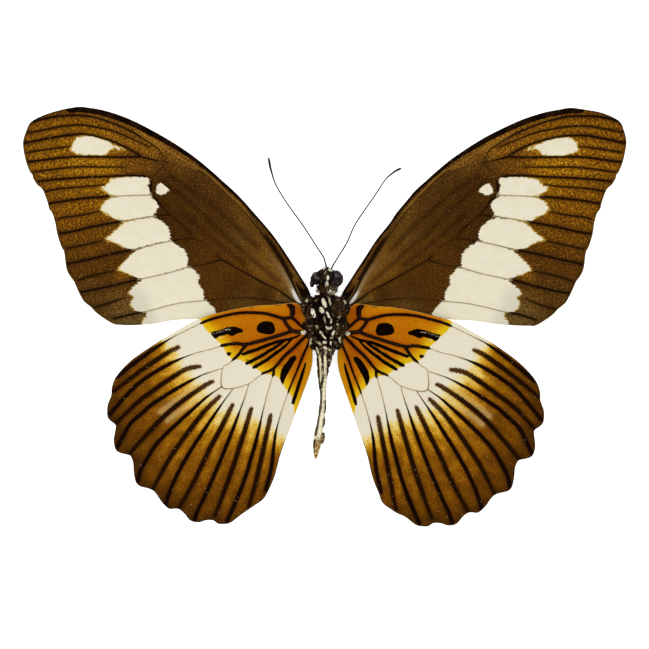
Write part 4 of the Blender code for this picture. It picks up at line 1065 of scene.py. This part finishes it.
def forewing_upperside():
    # Velvety black-brown scales with the same cream windows: the eye sees no gloss at all
    return upperside("forewing scales, upper side", [
        (0.0, "#0c0703"), (0.4, "#1d1209"), (0.8, "#33210f")], "cream", 0.9, "#ded4b0")


def hindwing_upperside():
    # The same velvet: black-brown at the root and the margin, cream between
    return upperside("hindwing scales, upper side", [
        (0.3, "#0e0804"), (0.5, "#20140a"), (0.66, "#4a3414"), (0.78, "#a58d50"),
        (0.9, "#ded4b0")], "orange", 0.7, "#24160a")


def cuticle(name, dark, light, grain, roughness, specular):
    # Dried, hardened chitin: uneven, and a little glossy on its lumps
    material, tree, shader = new_material(name, roughness, specular)
    place = add(tree, "ShaderNodeTexCoord", out="Object")
    lumps = add(tree, "ShaderNodeTexNoise", {"Vector": place, "Scale": 1 / (grain * MM), "Detail": 4.0})
    colour = add(tree, "ShaderNodeValToRGB", {0: lumps}, stops=[(0.38, dark), (0.66, light)])
    uneven(tree, shader, colour, lumps, 0.06)
    return material


def compound_eye():
    # A dried compound eye: facets of 0.03 mm, drawn at 0.09 mm so that they show
    material, tree, shader = new_material("dried compound eye", 0.55, 0.12)
    place = add(tree, "ShaderNodeTexCoord", out="Object")
    facets = add(tree, "ShaderNodeTexVoronoi", {"Vector": place, "Scale": 1 / (0.09 * MM)})
    clouds = add(tree, "ShaderNodeTexNoise", {"Vector": place, "Scale": 1 / (0.6 * MM), "Detail": 3.0})
    # Dark, mottled colour; its lighter grey patches are painted highlights, for the sheen of the eye
    colour = add(tree, "ShaderNodeValToRGB", {0: clouds}, stops=[
        (0.42, "#080505"), (0.54, "#1e1817"), (0.70, "#5e5350")])
    uneven(tree, shader, colour, facets, -0.03)
    return material


def abdomen_scales():
    # Flat cream scales over a dark skin, with the ochre side line and the black edges
    material, tree, shader = new_material("abdomen scales", 0.75, 0.08)
    place = add(tree, "ShaderNodeTexCoord", out="Object")
    fine = add(tree, "ShaderNodeTexNoise", {"Vector": place, "Scale": 1 / (0.22 * MM), "Detail": 3.0})
    ground = add(tree, "ShaderNodeValToRGB", {0: frayed(tree, "paleness", fine, 0.9)}, stops=[
        (0.0, "#160c05"), (0.3, "#33200e"), (0.5, "#84704a"), (0.68, "#d2c592"), (1.0, "#ece6cc")])
    ochre = add(tree, "ShaderNodeValToRGB", {0: fine}, stops=[(0.4, "#8a6a2c"), (0.6, "#c4a050")])
    ground = lay(tree, ground, ochre, frayed(tree, "ochre", fine, 0.3), -0.08, 0.08, 0.9)
    spots = add(tree, "ShaderNodeTexNoise", {"Vector": place, "Scale": 1 / (0.42 * MM), "Detail": 4.0})
    ground = lay(tree, ground, "#4a3a22", spots, 0.62, 0.70, 0.6)
    dried = add(tree, "ShaderNodeValToRGB", {0: spots}, stops=[
        (0.36, "#64481c"), (0.48, "#9c7a3a"), (0.60, "#cab482")])
    ground = lay(tree, ground, dried, frayed(tree, "tip", fine, 0.4), 0.3, 0.7)
    ground = lay(tree, ground, "#140a03", frayed(tree, "black", fine, 0.25), -0.06, 0.06, 0.92)
    uneven(tree, shader, ground, fine, 0.05)
    return material


def setae():
    # Chitin hairs and loose body scales, from black-brown through tan to cream
    material, tree, shader = new_material("body hair", 0.75, 0.03)
    paleness = add(tree, "ShaderNodeAttribute", out="Fac", attribute_name="paleness")
    colour = add(tree, "ShaderNodeValToRGB", {0: paleness}, stops=[
        (0.0, "#060301"), (0.2, "#1c0f07"), (0.34, "#48290f"), (0.48, "#6a5735"),
        (0.6, "#8f8063"), (0.75, "#bfb392"), (0.86, "#e4dabb"), (1.0, "#f8f2de")])
    tree.links.new(colour, shader.inputs["Base Color"])
    return material


# The body's pieces
def lump(name, centre, half, finish, bumps, turn=0.0, detail=5):
    """A rounded piece in millimetres: a sphere pulled to its half sizes and made uneven."""
    bpy.ops.object.select_all(action="DESELECT")
    bpy.ops.mesh.primitive_ico_sphere_add(
        subdivisions=detail, radius=MM, location=Vector(centre) * MM,
        rotation=(0, 0, math.radians(turn)), scale=half)
    piece = bpy.context.object
    piece.name = name
    bpy.ops.object.transform_apply(location=True, rotation=True, scale=True)
    texture = bpy.data.textures.new(name, "CLOUDS")
    texture.noise_scale = min(half) * 0.7 * MM
    bpy.ops.object.modifier_add(type="DISPLACE")
    displace = piece.modifiers[0]
    displace.texture = texture
    displace.strength = bumps * MM
    bpy.ops.object.modifier_apply(modifier=displace.name)
    bpy.ops.object.shade_smooth()
    piece.data.materials.append(finish)
    return piece


def flatten_below(piece, height):
    """Cut a piece flat at a height in millimetres and close the cut."""
    only(piece)
    bpy.ops.object.mode_set(mode="EDIT")
    bpy.ops.mesh.select_all(action="SELECT")
    bpy.ops.mesh.bisect(plane_co=(0, 0, height * MM), plane_no=(0, 0, 1), use_fill=True,
                        clear_inner=True)
    bpy.ops.object.mode_set(mode="OBJECT")


def face_outwards(piece):
    """Merge a piece's doubled points and turn all its faces outwards."""
    only(piece)
    bpy.ops.object.mode_set(mode="EDIT")
    bpy.ops.mesh.select_all(action="SELECT")
    bpy.ops.mesh.remove_doubles(threshold=0.000001)
    bpy.ops.mesh.normals_make_consistent(inside=False)
    bpy.ops.object.mode_set(mode="OBJECT")


def rod(name, course, finish, ridges=0.0):
    """A round rod through points (x, y, z, radius) in millimetres, ringed by low ridges."""
    line = smooth_line(course, 0.1)
    curve = bpy.data.curves.new(name, "CURVE")
    curve.dimensions = "3D"
    curve.bevel_depth = MM
    curve.bevel_resolution = 2
    curve.use_fill_caps = True
    spline = curve.splines.new("POLY")
    spline.points.add(len(line) - 1)
    for number, (point, (x, y, z, radius)) in enumerate(zip(spline.points, line)):
        point.co = (x * MM, y * MM, z * MM, 1)
        point.radius = max(radius, 0.02) * (1 + ridges * (number % 2))
    piece = bpy.data.objects.new(name, curve)
    bpy.context.scene.collection.objects.link(piece)
    only(piece)
    bpy.ops.object.convert(target="MESH")
    piece = bpy.context.object
    face_outwards(piece)
    bpy.ops.object.shade_smooth()
    piece.data.materials.append(finish)
    return piece


def make_abdomen(finish):
    """A loft along the abdomen's course, keeled below and nipped between the segments."""
    line = smooth_line(ABDOMEN_COURSE, 0.15)
    travelled = np.concatenate([[0], np.cumsum(np.linalg.norm(np.diff(line[:, :3], axis=0), axis=1))])
    angles = np.arange(ABDOMEN_SIDES) * math.tau / ABDOMEN_SIDES
    rings = []
    for (x, y, z, half), reach in zip(line, travelled):
        nip = 1 - 0.10 * abs(math.cos(math.pi * reach / SEGMENT_LENGTH)) ** 12
        half = max(half, 0.03) * nip
        keel = 0.16 * min(half, 0.5) * np.exp(-((angles - math.pi / 2) / 0.3) ** 2)
        rings.append(np.column_stack([
            x + half * np.cos(angles), np.full(ABDOMEN_SIDES, y),
            z + (half * 1.12 + keel) * np.sin(angles)]))
    points = np.vstack(rings)
    faces = []
    for first in range(0, len(points) - ABDOMEN_SIDES, ABDOMEN_SIDES):
        for side in range(ABDOMEN_SIDES):
            a, b = first + side, first + (side + 1) % ABDOMEN_SIDES
            faces.append((a, b, b + ABDOMEN_SIDES, a + ABDOMEN_SIDES))
    faces.append(tuple(range(ABDOMEN_SIDES - 1, -1, -1)))
    faces.append(tuple(range(len(points) - ABDOMEN_SIDES, len(points))))
    flat = points[:, :2]
    keel_gap, _ = nearest_line(flat, ABDOMEN_KEEL)
    ochre_gap, _ = nearest_line(flat, ABDOMEN_OCHRE)
    black_gap, _ = nearest_line(flat, ABDOMEN_BLACK)
    facing = np.tile(np.sin(angles), len(rings))
    behind = np.interp(-points[:, 1], (11, 13), (0, 1))
    side_gap, _ = nearest_line(flat, ABDOMEN_SIDE)
    keel_width = np.interp(-points[:, 1], KEEL_PLACES, KEEL_WIDTHS)
    pale = np.maximum(np.exp(-(keel_gap / keel_width) ** 4), 0.6 * behind * np.clip(facing + 0.6, 0, 1))
    pale = np.maximum(pale, 0.85 * np.exp(-(side_gap / 0.19) ** 4))
    pale = np.where(facing > -0.2, 0.35 + 0.6 * pale, 0.35)
    pale *= np.interp(-points[:, 1], (5.2, 6.2), (0.25, 1))
    tip = np.interp(-points[:, 1], (18.0, 18.7), (0, 1))
    piece = new_piece("abdomen_scaled", points, faces, [finish], {
        "paleness": pale,
        "tip": tip,
        "ochre": np.where(facing > 0, 0.07 - ochre_gap, -1),
        "black": np.where(facing > -0.1, 0.2 - black_gap, -1),
    })
    face_outwards(piece)
    return piece


def make_blades(name, roots, along, facing, lengths, widths, flatness, paleness, finish):
    """Hairs or scales in one mesh: three-sided blades that taper to a point and droop."""
    across = np.cross(facing, along)
    across /= np.maximum(np.linalg.norm(across, axis=1, keepdims=True), 1e-9)
    up = np.cross(along, across)
    rows = []
    for share, size in ((0.0, 0.7), (0.4, 1.0), (0.78, 0.7)):
        centre = roots + along * (lengths * share)[:, None] - up * (0.12 * lengths * share ** 2)[:, None]
        for corner in range(3):
            angle = math.tau * corner / 3 + math.pi / 2
            rows.append(centre + across * (widths * size * math.cos(angle))[:, None]
                        + up * (widths * size * flatness * math.sin(angle))[:, None])
    rows.append(roots + along * lengths[:, None] - up * (0.12 * lengths)[:, None])
    points = np.stack(rows, 1).reshape(-1, 3)
    points[:, 2] = np.clip(points[:, 2], BODY_LOW, BODY_TOP)
    pattern = [(0, 2, 1)]
    for low in (0, 3):
        pattern += [(low + i, low + (i + 1) % 3, low + 3 + (i + 1) % 3, low + 3 + i) for i in range(3)]
    pattern += [(6 + i, 6 + (i + 1) % 3, 9) for i in range(3)]
    faces = [tuple(first + i for i in face) for first in range(0, len(points), 10) for face in pattern]
    return new_piece(name, points, faces, [finish], {"paleness": np.repeat(paleness, 10)})


def skin_tree(pieces):
    """A tree that finds where a ray meets the outer skin of the pieces."""
    points, faces = [], []
    for piece in pieces:
        first = len(points)
        points.extend(v.co.copy() for v in piece.data.vertices)
        faces.extend([first + i for i in p.vertices] for p in piece.data.polygons)
    return BVHTree.FromPolygons(points, faces)


def make_tufts(tree, finish, rng):
    """Small scales packed over each pale spot of the body, as they lie on its skin."""
    roots, along, facing, sizes, paleness = [], [], [], [], []
    for x, y, half_long, half_wide, turn, pale in BODY_TUFTS:
        angle = math.radians(turn if turn < 0 else turn - 180)
        ahead = np.array([math.cos(angle), math.sin(angle)])
        side = np.array([-ahead[1], ahead[0]])
        for _ in range(int(16 + 400 * half_long * half_wide)):
            radius, around = math.sqrt(rng.random()), rng.random() * math.tau
            spot = np.array([x, y]) + ahead * (half_long * radius * math.cos(around) * 0.9 - 0.1) \
                + side * half_wide * radius * math.sin(around) * 0.85
            hit, normal, _, _ = tree.ray_cast(Vector((*spot, ABOVE)) * MM, Vector((0, 0, -1)))
            if hit is None:
                continue
            lean = Vector((*ahead, 0)) + Vector((*(rng.random(2) - 0.5), 0)) * 0.5
            lean = (lean - normal * lean.dot(normal)).normalized() + normal * (0.22 + 0.2 * rng.random())
            roots.append(np.array(hit) / MM)
            along.append(np.array(lean.normalized()))
            facing.append(np.array(normal))
            sizes.append(0.24 + 0.12 * rng.random())
            paleness.append(pale - 0.14 * rng.random())
    sizes = np.array(sizes)
    return make_blades("pale_scale_tufts", np.array(roots), np.array(along), np.array(facing),
                       sizes, sizes * 0.26, 0.3, np.array(paleness), finish)


def make_loose_scales(tree, finish, rng):
    """Rubbed scales, pale and dark, strewn over the zones where the body is mottled."""
    roots, facing, paleness = [], [], []
    for x, y, half_x, half_y, count, dark, pale in BODY_SPECKLES:
        for _ in range(count):
            radius, around = math.sqrt(rng.random()), rng.random() * math.tau
            spot = Vector((x + half_x * radius * math.cos(around),
                           y + half_y * radius * math.sin(around), ABOVE))
            shade = dark + (pale - dark) * rng.random() ** 1.4
            hit, normal, _, _ = tree.ray_cast(spot * MM, Vector((0, 0, -1)))
            if hit is not None:
                roots.append(np.array(hit) / MM)
                facing.append(np.array(normal))
                paleness.append(shade)
    roots, facing = np.array(roots), np.array(facing)
    along = rng.normal(0, 0.6, roots.shape) + np.array([0, -1, 0])
    along -= facing * (along * facing).sum(1, keepdims=True)
    along /= np.linalg.norm(along, axis=1, keepdims=True)
    along = along * 0.93 + facing * 0.36
    lengths = rng.uniform(0.22, 0.42, len(roots))
    return make_blades("loose_body_scales", roots, along, facing, lengths, lengths * 0.25, 0.4,
                       np.array(paleness), finish)


def surface_points(piece, count, rng):
    """Random points on a piece, in millimetres, with the normals there."""
    mesh = piece.data
    mesh.calc_loop_triangles()
    corners = np.array([t.vertices[:] for t in mesh.loop_triangles])
    places = np.array([v.co[:] for v in mesh.vertices])[corners] / MM
    normal = np.cross(places[:, 1] - places[:, 0], places[:, 2] - places[:, 0])
    area = np.linalg.norm(normal, axis=1)
    chosen = rng.choice(len(corners), count, p=area / area.sum())
    first, second = rng.random((2, count))
    over = first + second > 1
    first[over], second[over] = 1 - first[over], 1 - second[over]
    start = places[chosen]
    spots = start[:, 0] + first[:, None] * (start[:, 1] - start[:, 0]) \
        + second[:, None] * (start[:, 2] - start[:, 0])
    return spots, normal[chosen] / area[chosen, None]


def on_tufts(spots):
    """True where a spot lies on one of the brighter tufts."""
    covered = np.zeros(len(spots), bool)
    for x, y, half_long, half_wide, turn, pale in BODY_TUFTS:
        if pale < BRIGHT_TUFT:
            continue
        ahead = np.array([math.cos(math.radians(turn)), math.sin(math.radians(turn))])
        off = spots - np.array([x, y])
        lengthwise = off @ ahead / half_long
        sideways = (off[:, 1] * ahead[0] - off[:, 0] * ahead[1]) / half_wide
        covered |= lengthwise ** 2 + sideways ** 2 < 0.9
    return covered


def make_fur(name, piece, count, length, comb, rng, finish):
    """Loose hair all over a piece, combed one way."""
    roots, normals = surface_points(piece, count, rng)
    comb = np.array(comb) + rng.normal(0, 0.35, (count, 3))
    comb -= normals * (comb * normals).sum(1, keepdims=True)
    comb /= np.linalg.norm(comb, axis=1, keepdims=True)
    along = comb + normals * rng.uniform(0.25, 0.7, (count, 1))
    along /= np.linalg.norm(along, axis=1, keepdims=True)
    lengths = length * rng.uniform(0.6, 1.2, count)
    pale = dab_field(roots[:, :2], HAIR_SHADES) + rng.normal(0, 0.08, count)
    middles = roots + along * lengths[:, None] * 0.5
    tips = roots + along * lengths[:, None]
    bare = ~(on_tufts(middles[:, :2]) | on_tufts(tips[:, :2]))
    return make_blades(name, roots[bare], along[bare], normals[bare], lengths[bare],
                       np.full(bare.sum(), HAIR_RADIUS), 1.0, pale[bare], finish)


def place_body(wings):
    rng = np.random.default_rng(7)
    skin = cuticle("thorax cuticle", "#050201", "#22130a", 0.5, 0.65, 0.06)
    shell = cuticle("head cuticle", "#060302", "#271a12", 0.4, 0.6, 0.08)
    rings = cuticle("antenna cuticle", "#14110f", "#2c2724", 0.3, 0.5, 0.1)
    eye = compound_eye()
    hair = setae()
    thorax = lump("thorax_skin", THORAX_CENTRE, THORAX_HALF, skin, 0.35, detail=6)
    flatten_below(thorax, BODY_LOW)
    keep(thorax, "body_hair", "thorax")
    skins = [thorax]
    for name, course in LEG_COURSES.items():
        line = smooth_line(course, OUTLINE_STEP)
        across = (line[:, 0] - THORAX_CENTRE[0]) / THORAX_HALF[0]
        forward = (line[:, 1] - THORAX_CENTRE[1]) / THORAX_HALF[1]
        swell = np.sqrt(np.clip(1 - across ** 2 - forward ** 2, 0.1, 1))
        height = THORAX_CENTRE[2] + THORAX_HALF[2] * swell
        radius = np.interp(np.linspace(0, 1, len(line)), LEG_SHARES, LEG_RADII)
        leg = rod(name, np.column_stack([line, height + LEG_LIFT, radius]), skin)
        keep(leg, "body_hair")
        skins.append(leg)
    skull = lump("skull", (0.28, 5.8, 3.1), (1.5, 1.42, 1.45), shell, 0.2)
    keep(skull, "head_shell", "head")
    neck = lump("neck", (0.3, 4.0, 3.1), (1.45, 1.0, 1.3), shell, 0.3)
    keep(neck, "head_shell")
    skins += [skull, neck]
    for name, centre, half, turn in SIDE_LUMPS:
        side_lump = lump(name, centre, half, skin, 0.35, turn, 4)
        keep(side_lump, "body_hair")
        skins.append(side_lump)
    for name, centre, half, bumps, turn in EYE_LUMPS:
        ball = lump(name, centre, half, eye, bumps, turn)
        keep(ball, "head_shell")
        skins.append(ball)
    for side, course in PALPS.items():
        palp = rod(f"{side}_palp", course, shell)
        keep(palp, "head_shell")
        skins.append(palp)
    for side, course in ANTENNAE.items():
        keep(rod(f"{side}_antenna_ringed", course, rings, 0.12), "antenna_shell", f"antenna_{side}")
    abdomen = make_abdomen(abdomen_scales())
    keep(abdomen, "abdomen_scales", "abdomen")
    clasp = cuticle("clasper cuticle", "#24160a", "#a88c5a", 0.25, 0.5, 0.1)
    clasper = lump("right_clasper", (-0.32, -18.2, 2.35), (0.33, 0.88, 0.5), clasp, 0.1, -8)
    keep(clasper, "abdomen_scales")
    tree = skin_tree(skins + [abdomen] + wings)
    keep(make_loose_scales(tree, hair, rng), "body_hair")
    keep(make_tufts(tree, hair, rng), "body_hair")
    keep(make_fur("thorax_hair", thorax, 7000, 0.55, (0, -1, 0), rng, hair), "body_hair")
    keep(make_fur("neck_hair", neck, 900, 0.6, (0, 0.5, 0.6), rng, hair), "body_hair")
    keep(make_fur("skull_hair", skull, 500, 0.35, (0, 1, 0.3), rng, hair), "body_hair")


def place_wings():
    kinds = [
        ("forewing", FOREWING_OUTLINE, FOREWING_VEINS + FOREWING_STRIPES + FOREWING_COPPER[:1],
         forewing_fields, forewing_height, FOREWING_HINGE, right_forewing_place,
         (forewing_underside(), forewing_upperside())),
        ("hindwing", HINDWING_OUTLINE, HINDWING_VEINS + HINDWING_STRIPES + HINDWING_RAYS,
         hindwing_fields, hindwing_height, HINDWING_HINGE, right_hindwing_place,
         (hindwing_underside(), hindwing_upperside())),
    ]
    wings = []
    for kind, outline, lines, fields_of, height_of, hinge, right_place, finishes in kinds:
        plan = sheet_plan(outline, lines)
        fields = fields_of(plan[0], plan[2])
        heights = height_of(plan[0])
        sides = (("left", left_place, 0.0), ("right", right_place, RIGHT_ROW_SHIFT))
        for side, place, row_shift in sides:
            wing = make_wing(f"{side}_{kind}_scaled", plan, fields, heights, place, hinge,
                             row_shift, finishes)
            keep(wing, f"{kind}_scales", f"{kind}_{side}")
            wings.append(wing)
    return wings


# The camera looks straight down, and the photograph's frame fills its view
def place_camera():
    data = bpy.data.cameras.new("camera")
    data.lens = 135.0
    data.sensor_width = 36.0
    data.sensor_fit = "HORIZONTAL"
    data.clip_start = 0.01
    camera = bpy.data.objects.new("camera", data)
    bpy.context.scene.collection.objects.link(camera)
    width = FRAME_PIXELS * PIXEL * MM
    middle = FRAME_PIXELS / 2
    x = (middle - ORIGIN_PIXEL[0]) * PIXEL * MM
    y = (ORIGIN_PIXEL[1] - middle) * PIXEL * MM
    camera.location = (x, y, width * data.lens / data.sensor_width)
    bpy.context.scene.camera = camera


def place_stage():
    bpy.ops.object.select_all(action="DESELECT")
    bpy.ops.mesh.primitive_plane_add(size=4.0, location=(0, 0, -0.00002))
    floor = bpy.context.object
    floor.name = "floor"
    # White paper over a lit panel: matt, and bright enough to take the shadows away
    material, _, shader = new_material("white paper", 0.9, 0.1)
    shader.inputs["Base Color"].default_value = linear("#fbfbfb")
    shader.inputs["Emission Color"].default_value = (1.0, 1.0, 1.0, 1.0)
    shader.inputs["Emission Strength"].default_value = PAPER_GLOW
    floor.data.materials.append(material)
    world = bpy.data.worlds.new("soft white room")
    world.use_nodes = True
    background = world.node_tree.nodes["Background"]
    background.inputs["Color"].default_value = (1.0, 1.0, 1.0, 1.0)
    background.inputs["Strength"].default_value = 0.92
    bpy.context.scene.world = world
    lamp = bpy.data.lights.new("window light", "AREA")
    lamp.size = 0.5
    lamp.energy = 1.5
    light = bpy.data.objects.new("window light", lamp)
    light.location = (-0.35, 0.35, 0.6)
    light.rotation_euler = Vector((0.35, -0.35, -0.6)).to_track_quat("-Z", "Y").to_euler()
    bpy.context.scene.collection.objects.link(light)
    bpy.context.scene.view_settings.view_transform = "Standard"


place_camera()
place_stage()
place_body(place_wings())
